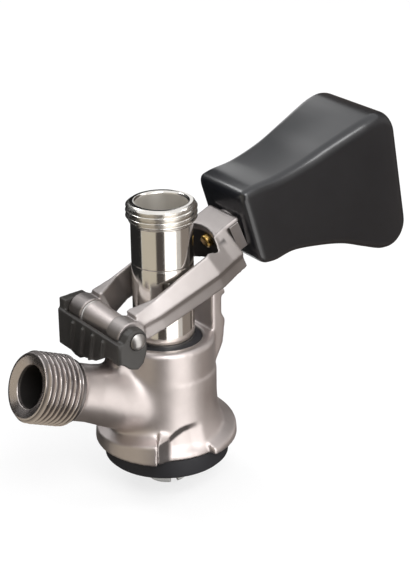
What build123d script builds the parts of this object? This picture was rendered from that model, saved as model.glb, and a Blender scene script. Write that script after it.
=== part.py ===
from build123d import *
from math import cos, hypot, radians, sin, sqrt
import os

# Keg coupler with a lever-driven probe, a side gas inlet and a spring latch in the lever.
# Millimetres, +Z up. The origin is on the probe axis, in the plane where the bottom seal
# meets the keg neck. The lever reaches towards +X and the gas inlet towards -X.

# ---- fits -------------------------------------------------------------------------------
RUNNING = 0.05          # radial clearance of a shaft that turns or slides in its hole
SIDE_PLAY = 0.1         # end play of the lever on its hinge, each side
SEATED = 0.02           # radial clearance of a piece that is fixed in its seat
FREE = 0.4              # clearance between pieces that pass each other

# ---- keg seal and body shell ------------------------------------------------------------
SEAL_HEIGHT = 6.5
SEAL_RADIUS = 20.5
SEAL_BORE_RADIUS = 12.0
SEAL_EDGE = 0.8
SEAL_COLLAR_RADIUS = 17.0
SEAL_COLLAR_HEIGHT = 2.0
BASE_RADIUS = 20.7
BASE_HEIGHT = 1.2       # upright part of the skirt above the seal
FLARE_TOP = 23.0        # height where the flare meets the barrel of the body
FLARE_SWELL = 1.7
FLARE_RISE = 3.8
FLARE_EASE = 6.0
BARREL_RADIUS = 16.9
NECK_STEP = 0.5
NECK_RADIUS = BARREL_RADIUS - NECK_STEP
NECK_STEP_Z = 31.5
NECK_TOP = 42.4
NECK_EDGE = 1.2
CHAMBER_RADIUS = 13.0
CHAMBER_TOP = 24.0
SHOULDER_RADIUS = 10.9
SHOULDER_HEIGHT = 3.0
NECK_BORE_RADIUS = 12.4

# ---- bayonet lugs -----------------------------------------------------------------------
LUG_COUNT = 2
LUG_RADIUS = 23.25
LUG_START_ANGLE = 99.0
LUG_SWEEP = 130.0
LUG_START_TOP = 8.6     # height of the ramp where a lug begins
LUG_PITCH = 13.5        # rise of the ramp in a full turn
LUG_ROOT_RADIUS = 17.4
LUG_RAMP_SLOPE = 0.45   # rise of the ramp from its rim towards the body, per millimetre
LUG_EDGE = 0.5

# ---- threads and gas inlet --------------------------------------------------------------
THREAD_RADIUS = 11.456  # G 5/8 major radius
THREAD_DEPTH = 1.162
INLET_FACE_X = -51.4
INLET_FACE_Z = 38.7
INLET_RISE = 22.0       # degrees that the inlet rises away from the body
INLET_THREAD_LENGTH = 15.5
INLET_NECK_RADIUS = 9.3
INLET_ROOT_RADIUS = 11.6
INLET_BORE_RADIUS = 6.9
INLET_BORE_DEPTH = 21.0
INLET_SEAT_RADIUS = 6.2
INLET_SEAT_DEPTH = 26.0
INLET_MOUTH_RADIUS = 9.7
INLET_MOUTH_DEPTH = 1.1
INLET_PORT_RADIUS = 4.8
VALVE_FLANGE = 1.5
VALVE_BEAK = 7.5
VALVE_WALL = 0.9
RETAINER_LENGTH = 3.2
RETAINER_BORE_RADIUS = 4.4
RETAINER_SLOT = 1.6

# ---- neck guide -------------------------------------------------------------------------
LIP_SEAL_HEIGHT = 3.0
WIPER_HEIGHT = 1.6
WIPER_RECESS = 0.3

# ---- hinge ------------------------------------------------------------------------------
HINGE_X = -21.7
HINGE_Z = 52.5
HINGE_BARREL_RADIUS = 4.9
HINGE_BARREL_WIDTH = 14.6
HINGE_PIN_RADIUS = 2.7
HINGE_PIN_DOME = 1.2
HINGE_WASHER = 0.5
HINGE_RIB_WIDTH = 9.0
EAR_RADIUS = 5.2
EAR_OUTER = 14.8

# ---- hinge clip -------------------------------------------------------------------------
CLIP_SIDE = 3.6         # thickness of each side plate
CLIP_BACK = 7.3         # how far the web's back stands behind the pin
CLIP_INSET = 0.4        # how far the web's ends stay inside the side plates
CLIP_WEB = 1.7
CLIP_WEB_BOTTOM = 40.6
CLIP_WEB_TOP = 53.0
# outlines of the side plates, in X and Z from the pin's centre
CLIP_FRONT = [(-6.4, -1.2), (-3.6, 2.8), (-1.4, 4.0), (1.6, 3.8), (3.1, 1.6),
              (3.2, -4.0), (1.9, -7.8), (-0.3, -9.5), (-3.2, -8.6), (-6.4, -5.8)]
CLIP_REAR = [(-6.4, 4.0), (2.3, 4.5), (3.3, 2.6), (3.3, -8.0), (2.6, -16.0),
             (1.0, -18.3), (-1.4, -18.0), (-3.8, -14.5), (-5.4, -9.4), (-6.4, -3.0)]
CLIP_RIB_COUNT = 4
CLIP_RIB = 1.1
CLIP_RIB_LEAN = 14.0

# ---- latch post on the body -------------------------------------------------------------
POST_WIDTH = 14.0
POST_INNER_X = 14.3
POST_TOOTH_X = 19.7
POST_RECESS_X = 18.2
POST_KNEE_X = 19.6
POST_TOP = 57.0
POST_TOOTH_BOTTOM = 54.0
POST_RECESS_BOTTOM = 47.6
POST_KNEE_Z = 45.0
POST_WAIST_X = 18.7
POST_WAIST_Z = 37.0
POST_FOOT_X = BARREL_RADIUS - 1.6
POST_FOOT_Z = 30.0

# ---- probe ------------------------------------------------------------------------------
PROBE_RADIUS = 10.0
PROBE_TOP = 88.75
PROBE_BORE_RADIUS = 8.27
PROBE_BORE_BOTTOM = 67.5
PROBE_THREAD_LENGTH = 7.1
PROBE_RELIEF = 1.0
PROBE_LINE_Z = 68.25
PROBE_LINE_WIDTH = 0.5
PROBE_LINE_DEPTH = 0.25
PROBE_INNER_RADIUS = 6.2
PROBE_SHANK_RADIUS = 9.2
PROBE_SHANK_TOP = 20.0
PROBE_SHOULDER_Z = 4.5
PROBE_SPIGOT_RADIUS = 7.8
PROBE_END_Z = -1.5
PROBE_SEAL_RADIUS = 11.5
TIP_FLANGE_RADIUS = 9.4
TIP_FLANGE = 2.0
TIP_RADIUS = 7.3
TIP_BOTTOM = -9.0
TIP_BORE_RADIUS = 4.2
TIP_SPIGOT_TOP = 5.0
TIP_SEAT = 0.7          # chamfer that the ball seats on
TIP_SLOT_COUNT = 4
TIP_SLOT_WIDTH = 2.6
TIP_SLOT_DEPTH = 3.6
TIP_SLOT_ANGLE = -104.0
BALL_RADIUS = 5.2
BALL_LIFT = 3.0
CAGE_HEIGHT = 4.0
CAGE_BORE_RADIUS = 4.6
CAGE_BAR = 1.4

# ---- lever, in its own frame: x along the lever from the hinge, z square to it ----------
LEVER_ANGLE = 24.0      # rise of the lever when it is up
FORK_END = 47.6
FORK_SLOT_END = 44.0
FORK_SLOT_ARC = 3.8     # depth of the curved end of the slot
FORK_INNER = 11.0       # half the gap between the arms
STUD_REACH = 22.65      # from the hinge to the studs
STUD_SEAT = 1.9         # how far a stud goes into its arm
STUD_RADIUS = 2.5
STUD_FLAT = 8.2         # distance of a probe flat from the probe axis
STUD_PLAY = 0.25        # room for a stud in its flat, each way

FORK_STEP = 1.2         # how far an arm's lower face is set in under its ridge
FORK_STEP_HEIGHT = 2.2
# stations of the fork: place, half width at the top, at the ridge, top, ridge, bottom
FORK_STATIONS = [
    (4.6, 12.8, 14.8, 4.5, 1.2, -5.3),
    (6.0, 12.6, 14.8, 4.5, 1.0, -5.4),
    (12.0, 12.1, 15.4, 4.1, 0.2, -5.9),
    (36.0, 11.7, 15.2, 4.6, -1.6, -8.0),
    (43.0, 7.9, 13.3, 6.4, -2.4, -8.6),
    (47.6, 7.4, 12.6, 6.5, -2.8, -8.8),
]

# ---- latch in the lever -----------------------------------------------------------------
LATCH_HEIGHT = 1.0      # height of the latch axis over the hinge line of the lever
PLUNGER_RADIUS = 2.25
PLUNGER_TIP = 42.0
PLUNGER_COLLAR_RADIUS = 2.8
PLUNGER_COLLAR_START = 49.5
PLUNGER_END = 52.0
PLUNGER_SOCKET = 4.0
ROD_RADIUS = 1.5
ROD_END = 82.0
GUIDE_RADIUS = 4.2
GUIDE_BORE_RADIUS = 2.9
GUIDE_END = 70.0
GLAND_LENGTH = 3.0
PULL_OUT = 2.5
SPRING_WIRE = 0.6
SPRING_TURNS = 5
CARRIER_START = 48.9
CARRIER_FLANGE = 3.5
CARRIER_HALF_WIDTH = 7.4
CARRIER_TOP = 5.0
CARRIER_BOTTOM = -5.4
CARRIER_SLEEVE_RADIUS = 6.0
CARRIER_SLEEVE = 11.0
INSERT_RADIUS = 4.0
INSERT_START = 75.2
INSERT_LENGTH = 7.6

# ---- grip, in the lever's frame ---------------------------------------------------------
# stations of the grip: point on its back, point on its belly, half width, corner radius
GRIP_STATIONS = [
    (54.6, 15.4, 51.8, -11.4, 12.6, 2.4),
    (60.0, 14.9, 57.4, -14.2, 12.8, 2.8),
    (68.5, 12.7, 65.0, -15.8, 13.2, 3.2),
    (80.0, 11.4, 74.5, -20.6, 14.0, 3.4),
    (91.0, 11.4, 82.5, -25.6, 15.2, 3.6),
    (99.5, 11.4, 89.0, -31.4, 16.4, 3.8),
    (105.5, 11.2, 94.5, -36.1, 17.2, 4.0),
    (110.6, 10.2, 99.6, -37.4, 17.4, 4.2),
    (114.0, 7.4, 104.2, -35.0, 17.0, 4.6),
    (115.8, 2.4, 107.8, -29.2, 14.6, 4.6),
]


def ring(outer, inner, bottom, top):
    """A plain ring about the probe axis between two heights."""
    height = top - bottom
    solid = Cylinder(outer, height) - Cylinder(inner, 2 * height)
    return Pos(0, 0, (bottom + top) / 2) * solid


def revolved(points):
    """A closed outline of (radius, height) points turned about the probe axis."""
    return revolve(Plane.XZ * make_face(Polyline(*points, close=True)), Axis.Z)


def along_x(radius, start, end, y=0.0, z=0.0):
    """A cylinder parallel to X."""
    return Pos((start + end) / 2, y, z) * Rot(0, 90, 0) * Cylinder(radius, end - start)


def along_y(radius, start, end, x=0.0, z=0.0):
    """A cylinder parallel to Y."""
    return Pos(x, (start + end) / 2, z) * Rot(90, 0, 0) * Cylinder(radius, end - start)


def side_plate(outline, start, end):
    """An outline in (x, z), extruded along Y from start to end."""
    face = Plane.XZ * make_face(outline)
    return extrude(face, amount=start - end).moved(Location((0, start, 0)))


def on_lever(solid):
    """Puts a piece made in the lever's frame in its place when the lever is up."""
    return Pos(HINGE_X, 0, HINGE_Z) * Rot(0, -LEVER_ANGLE, 0) * solid


def on_inlet(solid):
    """Puts a piece made along +Z, from the inlet's face inwards, in the inlet."""
    return Pos(INLET_FACE_X, 0, INLET_FACE_Z) * Rot(0, 90 + INLET_RISE, 0) * solid


# ---- body -------------------------------------------------------------------------------
def body_shell():
    """The turned outside of the body, from the skirt to the neck."""
    skirt_top = SEAL_HEIGHT + BASE_HEIGHT
    bottom = Line((0, SEAL_HEIGHT), (BASE_RADIUS, SEAL_HEIGHT))
    skirt = Line((BASE_RADIUS, SEAL_HEIGHT), (BASE_RADIUS, skirt_top))
    flare = Bezier(
        (BASE_RADIUS, skirt_top),
        (BARREL_RADIUS + FLARE_SWELL, skirt_top + FLARE_RISE),
        (BARREL_RADIUS, FLARE_TOP - FLARE_EASE),
        (BARREL_RADIUS, FLARE_TOP),
    )
    barrel = Polyline(
        (BARREL_RADIUS, FLARE_TOP),
        (BARREL_RADIUS, NECK_STEP_Z - NECK_STEP),
        (NECK_RADIUS, NECK_STEP_Z),
        (NECK_RADIUS, NECK_TOP - NECK_EDGE),
        (NECK_RADIUS - NECK_EDGE, NECK_TOP),
        (0, NECK_TOP),
        (0, SEAL_HEIGHT),
    )
    return revolve(Plane.XZ * make_face(bottom + skirt + flare + barrel), Axis.Z)


def lug(start_angle):
    """One bayonet lug: a ramp that rises as it goes round, cut level at the bottom."""
    turn = LUG_SWEEP / 360
    rise = LUG_PITCH * turn
    path = Helix(LUG_PITCH, rise, LUG_RADIUS)
    depth = LUG_START_TOP + rise
    inner = LUG_RADIUS - LUG_ROOT_RADIUS
    profile = Polyline(
        (0, -LUG_EDGE),
        (-LUG_EDGE, 0),
        (-inner, LUG_RAMP_SLOPE * inner),
        (-inner, -depth),
        (0, -depth),
        close=True,
    )
    section = Plane(origin=(LUG_RADIUS, 0, 0), x_dir=(1, 0, 0), z_dir=(0, -1, 0))
    ramp = sweep(section * make_face(profile), path=path, binormal=Edge.make_line((0, 0, 0), (0, 0, 1)))
    ramp = Pos(0, 0, LUG_START_TOP) * ramp
    keep = ring(LUG_RADIUS + 5, LUG_ROOT_RADIUS - 5, SEAL_HEIGHT, SEAL_HEIGHT + 2 * depth)
    return Rot(0, 0, start_angle) * (ramp & keep)


def inlet_outside():
    """The threaded spout of the gas inlet and the neck that joins it to the body."""
    edge = THREAD_DEPTH
    reach = abs(INLET_FACE_X) / cos(radians(INLET_RISE))
    neck_end = reach - CHAMBER_RADIUS
    thread_end = INLET_THREAD_LENGTH
    points = [
        (0, 0),
        (THREAD_RADIUS - edge, 0),
        (THREAD_RADIUS, edge),
        (THREAD_RADIUS, thread_end - edge),
        (INLET_NECK_RADIUS, thread_end + edge),
        (INLET_NECK_RADIUS, thread_end + 8),
        (INLET_ROOT_RADIUS, neck_end),
        (0, neck_end),
    ]
    return on_inlet(revolved(points))


def inlet_inside():
    """The stepped bore of the gas inlet, through to the chamber."""
    reach = abs(INLET_FACE_X) / cos(radians(INLET_RISE))
    points = [
        (0, -1),
        (INLET_MOUTH_RADIUS, -1),
        (INLET_MOUTH_RADIUS, 0),
        (INLET_BORE_RADIUS, INLET_MOUTH_DEPTH),
        (INLET_BORE_RADIUS, INLET_BORE_DEPTH),
        (INLET_SEAT_RADIUS, INLET_BORE_DEPTH),
        (INLET_SEAT_RADIUS, INLET_SEAT_DEPTH),
        (INLET_PORT_RADIUS, INLET_SEAT_DEPTH),
        (INLET_PORT_RADIUS, reach - CHAMBER_RADIUS / 2),
        (0, reach - CHAMBER_RADIUS / 2),
    ]
    return on_inlet(revolved(points))


def hinge_lug():
    """The hinge barrel and the rib that carries it on the neck."""
    half = HINGE_BARREL_WIDTH / 2
    barrel = along_y(HINGE_BARREL_RADIUS, -half, half, HINGE_X, HINGE_Z)
    rib = Polyline(
        (HINGE_X - HINGE_BARREL_RADIUS, HINGE_Z),
        (HINGE_X + 1.0, HINGE_Z + HINGE_BARREL_RADIUS - 0.1),
        (-NECK_RADIUS + 2.2, NECK_TOP - 1.0),
        (-NECK_RADIUS + 2.2, NECK_STEP_Z - 4.0),
        (-NECK_RADIUS - 1.5, NECK_STEP_Z - 1.0),
        close=True,
    )
    half_rib = HINGE_RIB_WIDTH / 2
    return barrel + side_plate(rib, -half_rib, half_rib)


def latch_post():
    """The upright post whose tooth the plunger catches."""
    outline = Polyline(
        (POST_INNER_X, POST_FOOT_Z),
        (POST_INNER_X, POST_TOP),
        (POST_TOOTH_X - 2.2, POST_TOP),
        (POST_TOOTH_X, POST_TOP - 1.6),
        (POST_TOOTH_X, POST_TOOTH_BOTTOM),
        (POST_RECESS_X, POST_TOOTH_BOTTOM),
        (POST_RECESS_X, POST_RECESS_BOTTOM),
        (POST_KNEE_X, POST_KNEE_Z),
        (POST_WAIST_X, POST_WAIST_Z),
        (POST_FOOT_X, POST_FOOT_Z),
        close=True,
    )
    half = POST_WIDTH / 2
    return side_plate(outline, -half, half)


def body_casting():
    """The cast body, with its lugs, inlet, hinge lug and latch post."""
    body = body_shell()
    for number in range(LUG_COUNT):
        body += lug(LUG_START_ANGLE + number * 360 / LUG_COUNT)
    body += inlet_outside() + latch_post() + hinge_lug()
    shoulder_top = CHAMBER_TOP + SHOULDER_HEIGHT
    bore = revolved([
        (0, SEAL_HEIGHT - 1),
        (SEAL_COLLAR_RADIUS + SEATED, SEAL_HEIGHT - 1),
        (SEAL_COLLAR_RADIUS + SEATED, SEAL_HEIGHT + SEAL_COLLAR_HEIGHT),
        (CHAMBER_RADIUS, SEAL_HEIGHT + SEAL_COLLAR_HEIGHT),
        (CHAMBER_RADIUS, CHAMBER_TOP),
        (SHOULDER_RADIUS, CHAMBER_TOP),
        (SHOULDER_RADIUS, shoulder_top),
        (NECK_BORE_RADIUS, shoulder_top),
        (NECK_BORE_RADIUS, NECK_TOP + 1),
        (0, NECK_TOP + 1),
    ])
    pin_hole = along_y(HINGE_PIN_RADIUS + SEATED, -EAR_OUTER, EAR_OUTER, HINGE_X, HINGE_Z)
    return body - bore - inlet_inside() - pin_hole


def keg_seal():
    """The black ring that seals on the keg neck, with the collar that seats it in the body."""
    collar_top = SEAL_HEIGHT + SEAL_COLLAR_HEIGHT
    return revolved([
        (SEAL_BORE_RADIUS + SEAL_EDGE, 0),
        (SEAL_RADIUS - SEAL_EDGE, 0),
        (SEAL_RADIUS, SEAL_EDGE),
        (SEAL_RADIUS, SEAL_HEIGHT),
        (SEAL_COLLAR_RADIUS, SEAL_HEIGHT),
        (SEAL_COLLAR_RADIUS, collar_top),
        (SEAL_BORE_RADIUS, collar_top),
        (SEAL_BORE_RADIUS, SEAL_EDGE),
    ])


def neck_lip_seal():
    """The lip seal under the guide bush, with a groove that opens downwards."""
    bottom = CHAMBER_TOP + SHOULDER_HEIGHT
    inner = PROBE_RADIUS + RUNNING
    outer = NECK_BORE_RADIUS - SEATED
    lip = (outer - inner) / 4
    return revolved([
        (inner, bottom),
        (inner + lip, bottom),
        (inner + 2 * lip, bottom + LIP_SEAL_HEIGHT / 2),
        (outer - lip, bottom),
        (outer, bottom),
        (outer, bottom + LIP_SEAL_HEIGHT),
        (inner, bottom + LIP_SEAL_HEIGHT),
    ])


def neck_bush():
    """The plastic bush that guides the probe in the neck."""
    bottom = CHAMBER_TOP + SHOULDER_HEIGHT + LIP_SEAL_HEIGHT
    top = NECK_TOP - WIPER_RECESS - WIPER_HEIGHT
    return ring(NECK_BORE_RADIUS - SEATED, PROBE_RADIUS + RUNNING, bottom, top)


def neck_wiper():
    """The wiper ring in the mouth of the neck."""
    top = NECK_TOP - WIPER_RECESS
    inner = PROBE_RADIUS + RUNNING
    outer = NECK_BORE_RADIUS - SEATED
    return revolved([
        (inner, top - WIPER_HEIGHT),
        (outer, top - WIPER_HEIGHT),
        (outer, top - 0.5),
        (inner + 0.5, top),
        (inner, top),
    ])


def gas_check_valve():
    """The rubber duckbill that lets gas in and no beer out."""
    start = INLET_SEAT_DEPTH - VALVE_FLANGE
    flange = Pos(0, 0, start + VALVE_FLANGE / 2) * Cylinder(INLET_SEAT_RADIUS - SEATED, VALVE_FLANGE)
    root_radius = INLET_PORT_RADIUS - FREE
    root = Plane.XY.offset(INLET_SEAT_DEPTH) * Circle(root_radius)
    lips = Plane.XY.offset(INLET_SEAT_DEPTH + VALVE_BEAK) * Rectangle(2 * VALVE_WALL, 1.6 * root_radius)
    beak = loft([root, lips])
    passage_root = Plane.XY.offset(start - 1) * Circle(root_radius - VALVE_WALL)
    passage_lips = Plane.XY.offset(INLET_SEAT_DEPTH + VALVE_BEAK - 0.5) * Rectangle(0.3, 1.0 * root_radius)
    return on_inlet(flange + beak - loft([passage_root, passage_lips]))


def gas_valve_retainer():
    """The slotted ring that holds the duckbill in the inlet."""
    end = INLET_SEAT_DEPTH - VALVE_FLANGE
    centre = end - RETAINER_LENGTH / 2
    body = Pos(0, 0, centre) * Cylinder(INLET_SEAT_RADIUS - SEATED, RETAINER_LENGTH)
    body -= Pos(0, 0, centre) * Cylinder(RETAINER_BORE_RADIUS, 2 * RETAINER_LENGTH)
    slot = Pos(0, 0, end - RETAINER_LENGTH) * Box(3 * INLET_SEAT_RADIUS, RETAINER_SLOT, 2 * RETAINER_SLOT)
    return on_inlet(body - slot)


# ---- hinge ------------------------------------------------------------------------------
def hinge_pin():
    """The hinge pin, domed at both ends, just proud of the clip."""
    half = EAR_OUTER + SIDE_PLAY + CLIP_SIDE
    shaft = along_y(HINGE_PIN_RADIUS, -half, half, HINGE_X, HINGE_Z)
    dome_radius = (HINGE_PIN_RADIUS ** 2 + HINGE_PIN_DOME ** 2) / (2 * HINGE_PIN_DOME)
    centre = half + HINGE_PIN_DOME - dome_radius
    cap = Pos(HINGE_X, 0, HINGE_Z)
    shaft += cap * Pos(0, centre, 0) * Sphere(dome_radius) & along_y(
        HINGE_PIN_RADIUS, half - 0.01, half + HINGE_PIN_DOME + 1, HINGE_X, HINGE_Z)
    shaft += cap * Pos(0, -centre, 0) * Sphere(dome_radius) & along_y(
        HINGE_PIN_RADIUS, -half - HINGE_PIN_DOME - 1, 0.01 - half, HINGE_X, HINGE_Z)
    return shaft


def hinge_washer(side):
    """A thin washer between the barrel and one ear of the lever."""
    start = HINGE_BARREL_WIDTH / 2
    washer = along_y(HINGE_BARREL_RADIUS - 0.4, start, start + HINGE_WASHER, 0, 0)
    washer -= along_y(HINGE_PIN_RADIUS + SEATED, start - 1, start + HINGE_WASHER + 1, 0, 0)
    if side < 0:
        washer = mirror(washer, Plane.XZ)
    return Pos(HINGE_X, 0, HINGE_Z) * washer


def clip_plate(outline, start):
    """One side plate of the clip, from its outline about the pin."""
    places = [(HINGE_X + x, HINGE_Z + z) for x, z in outline]
    return side_plate(Polyline(*places, close=True), start, start + CLIP_SIDE)


def hinge_clip():
    """The plastic clip that holds the pin: two side plates joined by a ribbed web."""
    inner = EAR_OUTER + SIDE_PLAY
    outer = inner + CLIP_SIDE
    clip = clip_plate(CLIP_REAR, inner) + clip_plate(CLIP_FRONT, -outer)
    web_back = HINGE_X - CLIP_BACK
    web_height = CLIP_WEB_TOP - CLIP_WEB_BOTTOM
    web_middle = (CLIP_WEB_TOP + CLIP_WEB_BOTTOM) / 2
    web = Box(CLIP_WEB, 2 * (outer - CLIP_INSET), web_height)
    clip += Pos(web_back + CLIP_WEB / 2, 0, web_middle) * web
    spacing = 2 * inner / (CLIP_RIB_COUNT + 1)
    for number in range(CLIP_RIB_COUNT):
        place = -inner + spacing * (number + 1)
        rib = Box(2 * CLIP_RIB, CLIP_RIB, web_height - 2.0)
        clip += Pos(web_back, place, web_middle) * Rot(CLIP_RIB_LEAN, 0, 0) * rib
    hole = HINGE_PIN_RADIUS + SEATED
    return clip - along_y(hole, -outer - 1, outer + 1, HINGE_X, HINGE_Z)


# ---- probe ------------------------------------------------------------------------------
def probe_tube():
    """The stainless probe: beer outlet at the top, flats for the lever studs, seal seat below."""
    thread_bottom = PROBE_TOP - PROBE_THREAD_LENGTH
    line = PROBE_LINE_WIDTH / 2
    tube = revolved([
        (PROBE_INNER_RADIUS, PROBE_END_Z),
        (PROBE_SPIGOT_RADIUS, PROBE_END_Z),
        (PROBE_SPIGOT_RADIUS, PROBE_SHOULDER_Z),
        (PROBE_SHANK_RADIUS, PROBE_SHOULDER_Z),
        (PROBE_SHANK_RADIUS, PROBE_SHANK_TOP),
        (PROBE_RADIUS, PROBE_SHANK_TOP + PROBE_RADIUS - PROBE_SHANK_RADIUS),
        (PROBE_RADIUS, PROBE_LINE_Z - line),
        (PROBE_RADIUS - PROBE_LINE_DEPTH, PROBE_LINE_Z),
        (PROBE_RADIUS, PROBE_LINE_Z + line),
        (PROBE_RADIUS, thread_bottom),
        (THREAD_RADIUS, thread_bottom + PROBE_RELIEF),
        (THREAD_RADIUS, PROBE_TOP - THREAD_DEPTH),
        (THREAD_RADIUS - THREAD_DEPTH, PROBE_TOP),
        (PROBE_BORE_RADIUS + 0.6, PROBE_TOP),
        (PROBE_BORE_RADIUS, PROBE_TOP - 0.6),
        (PROBE_BORE_RADIUS, PROBE_BORE_BOTTOM),
        (PROBE_INNER_RADIUS, PROBE_BORE_BOTTOM - PROBE_BORE_RADIUS + PROBE_INNER_RADIUS),
    ])
    stud_z = HINGE_Z + STUD_REACH * sin(radians(LEVER_ANGLE))
    for side in (-1, 1):
        flat = Box(3 * PROBE_RADIUS, PROBE_RADIUS, 2 * (STUD_RADIUS + STUD_PLAY))
        tube -= Pos(0, side * (STUD_FLAT + PROBE_RADIUS / 2), stud_z) * flat
    return tube


def probe_seal():
    """The rubber ring at the foot of the probe that closes the gas way."""
    return revolved([
        (PROBE_SPIGOT_RADIUS + SEATED, PROBE_END_Z),
        (PROBE_SEAL_RADIUS - 1.2, PROBE_END_Z),
        (PROBE_SEAL_RADIUS, PROBE_END_Z + 1.2),
        (PROBE_SEAL_RADIUS, PROBE_SHOULDER_Z - 0.8),
        (PROBE_SEAL_RADIUS - 0.8, PROBE_SHOULDER_Z),
        (PROBE_SPIGOT_RADIUS + SEATED, PROBE_SHOULDER_Z),
    ])


def ball_seat_z():
    """Height of the ball's centre when it rests on the edge of the tip's bore."""
    return TIP_SPIGOT_TOP - TIP_SEAT + sqrt(BALL_RADIUS ** 2 - TIP_BORE_RADIUS ** 2)


def probe_tip():
    """The slotted tip screwed into the probe, which carries the ball's seat."""
    spigot = PROBE_INNER_RADIUS - SEATED
    flange_bottom = PROBE_END_Z - TIP_FLANGE
    tip = revolved([
        (TIP_BORE_RADIUS, TIP_BOTTOM),
        (TIP_RADIUS - 0.8, TIP_BOTTOM),
        (TIP_RADIUS, TIP_BOTTOM + 0.8),
        (TIP_RADIUS, flange_bottom),
        (TIP_FLANGE_RADIUS, flange_bottom),
        (TIP_FLANGE_RADIUS, PROBE_END_Z),
        (spigot, PROBE_END_Z),
        (spigot, TIP_SPIGOT_TOP),
        (TIP_BORE_RADIUS + TIP_SEAT, TIP_SPIGOT_TOP),
        (TIP_BORE_RADIUS, TIP_SPIGOT_TOP - TIP_SEAT),
    ])
    for number in range(TIP_SLOT_COUNT):
        angle = TIP_SLOT_ANGLE + number * 360 / TIP_SLOT_COUNT
        slot = Pos(TIP_RADIUS, 0, TIP_BOTTOM) * Box(2 * TIP_BORE_RADIUS, TIP_SLOT_WIDTH, 2 * TIP_SLOT_DEPTH)
        tip -= Rot(0, 0, angle) * slot
    return tip


def check_ball():
    """The ball that keeps beer from running back."""
    return Pos(0, 0, ball_seat_z() + RUNNING) * Sphere(BALL_RADIUS)


def ball_cage():
    """The cage that stops the lifted ball: a ring with a cross bar."""
    bottom = ball_seat_z() + BALL_RADIUS + BALL_LIFT + RUNNING
    cage = ring(PROBE_INNER_RADIUS - SEATED, CAGE_BORE_RADIUS, bottom, bottom + CAGE_HEIGHT)
    for angle in (0, 90):
        bar = Box(2 * CAGE_BORE_RADIUS + 1, CAGE_BAR, CAGE_HEIGHT / 2)
        cage += Rot(0, 0, angle) * Pos(0, 0, bottom + CAGE_HEIGHT * 0.75) * bar
    return cage


# ---- lever ------------------------------------------------------------------------------
def fork_section(station):
    """The section of the fork at one station: wide at the ridge, set in below it."""
    place, top_half, ridge_half, top, ridge, bottom = station
    low_half = ridge_half - FORK_STEP
    step = ridge - FORK_STEP_HEIGHT
    plane = Plane(origin=(place, 0, 0), x_dir=(0, 1, 0), z_dir=(1, 0, 0))
    outline = Polyline(
        (-low_half, bottom),
        (-low_half, step),
        (-ridge_half, ridge),
        (-top_half, top),
        (top_half, top),
        (ridge_half, ridge),
        (low_half, step),
        (low_half, bottom),
        close=True,
    )
    return plane * make_face(outline)


def fork_slot():
    """The space between the arms, with its curved end at the yoke."""
    ear_gap = HINGE_BARREL_WIDTH / 2 + HINGE_WASHER + SIDE_PLAY
    start = -2 * EAR_RADIUS
    side_end = FORK_SLOT_END - FORK_SLOT_ARC
    sides = Polyline(
        (side_end, -FORK_INNER),
        (14.0, -FORK_INNER),
        (EAR_RADIUS + 1.0, -ear_gap),
        (start, -ear_gap),
        (start, ear_gap),
        (EAR_RADIUS + 1.0, ear_gap),
        (14.0, FORK_INNER),
        (side_end, FORK_INNER),
    )
    end = ThreePointArc((side_end, FORK_INNER), (FORK_SLOT_END, 0), (side_end, -FORK_INNER))
    return Pos(0, 0, -20) * extrude(make_face(sides + end), amount=40)


def lever_fork():
    """The cast fork: two arms, the yoke that joins them and the guide tube of the latch."""
    fork = None
    for first, second in zip(FORK_STATIONS, FORK_STATIONS[1:]):
        span = loft([fork_section(first), fork_section(second)], ruled=True)
        fork = span if fork is None else fork + span
    fork += along_y(EAR_RADIUS, -EAR_OUTER, EAR_OUTER)
    fork += along_x(GUIDE_RADIUS, FORK_END - 1, GUIDE_END, 0, LATCH_HEIGHT)
    fork -= fork_slot()
    fork -= along_x(PLUNGER_RADIUS + RUNNING, FORK_SLOT_END - 8, FORK_END, 0, LATCH_HEIGHT)
    fork -= along_x(GUIDE_BORE_RADIUS, FORK_END, GUIDE_END + 1, 0, LATCH_HEIGHT)
    fork -= along_y(HINGE_PIN_RADIUS + RUNNING, -EAR_OUTER - 1, EAR_OUTER + 1)
    for side in (-1, 1):
        seat = side * (FORK_INNER + STUD_SEAT)
        fork -= along_y(STUD_RADIUS + SEATED, min(0, seat), max(0, seat), STUD_REACH)
    return on_lever(fork)


def fork_stud(side):
    """A stud in one arm of the fork; its end rides in a flat of the probe."""
    inner = STUD_FLAT + STUD_PLAY
    outer = FORK_INNER + STUD_SEAT
    stud = along_y(STUD_RADIUS, inner, outer, STUD_REACH)
    if side < 0:
        stud = mirror(stud, Plane.XZ)
    return on_lever(stud)


def latch_plunger():
    """The brass plunger with its collar and the socket for the rod."""
    plunger = along_x(PLUNGER_RADIUS, PLUNGER_TIP, PLUNGER_END, 0, LATCH_HEIGHT)
    tip_edges = plunger.edges().filter_by(GeomType.CIRCLE).sort_by(Axis.X)[0]
    plunger = chamfer(tip_edges, 0.5)
    plunger += along_x(PLUNGER_COLLAR_RADIUS, PLUNGER_COLLAR_START, PLUNGER_END, 0, LATCH_HEIGHT)
    plunger -= along_x(ROD_RADIUS + SEATED, PLUNGER_END - PLUNGER_SOCKET, PLUNGER_END + 1, 0, LATCH_HEIGHT)
    return on_lever(plunger)


def pull_rod():
    """The rod that ties the plunger to the grip."""
    return on_lever(along_x(ROD_RADIUS, PLUNGER_END - PLUNGER_SOCKET, ROD_END, 0, LATCH_HEIGHT))


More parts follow.
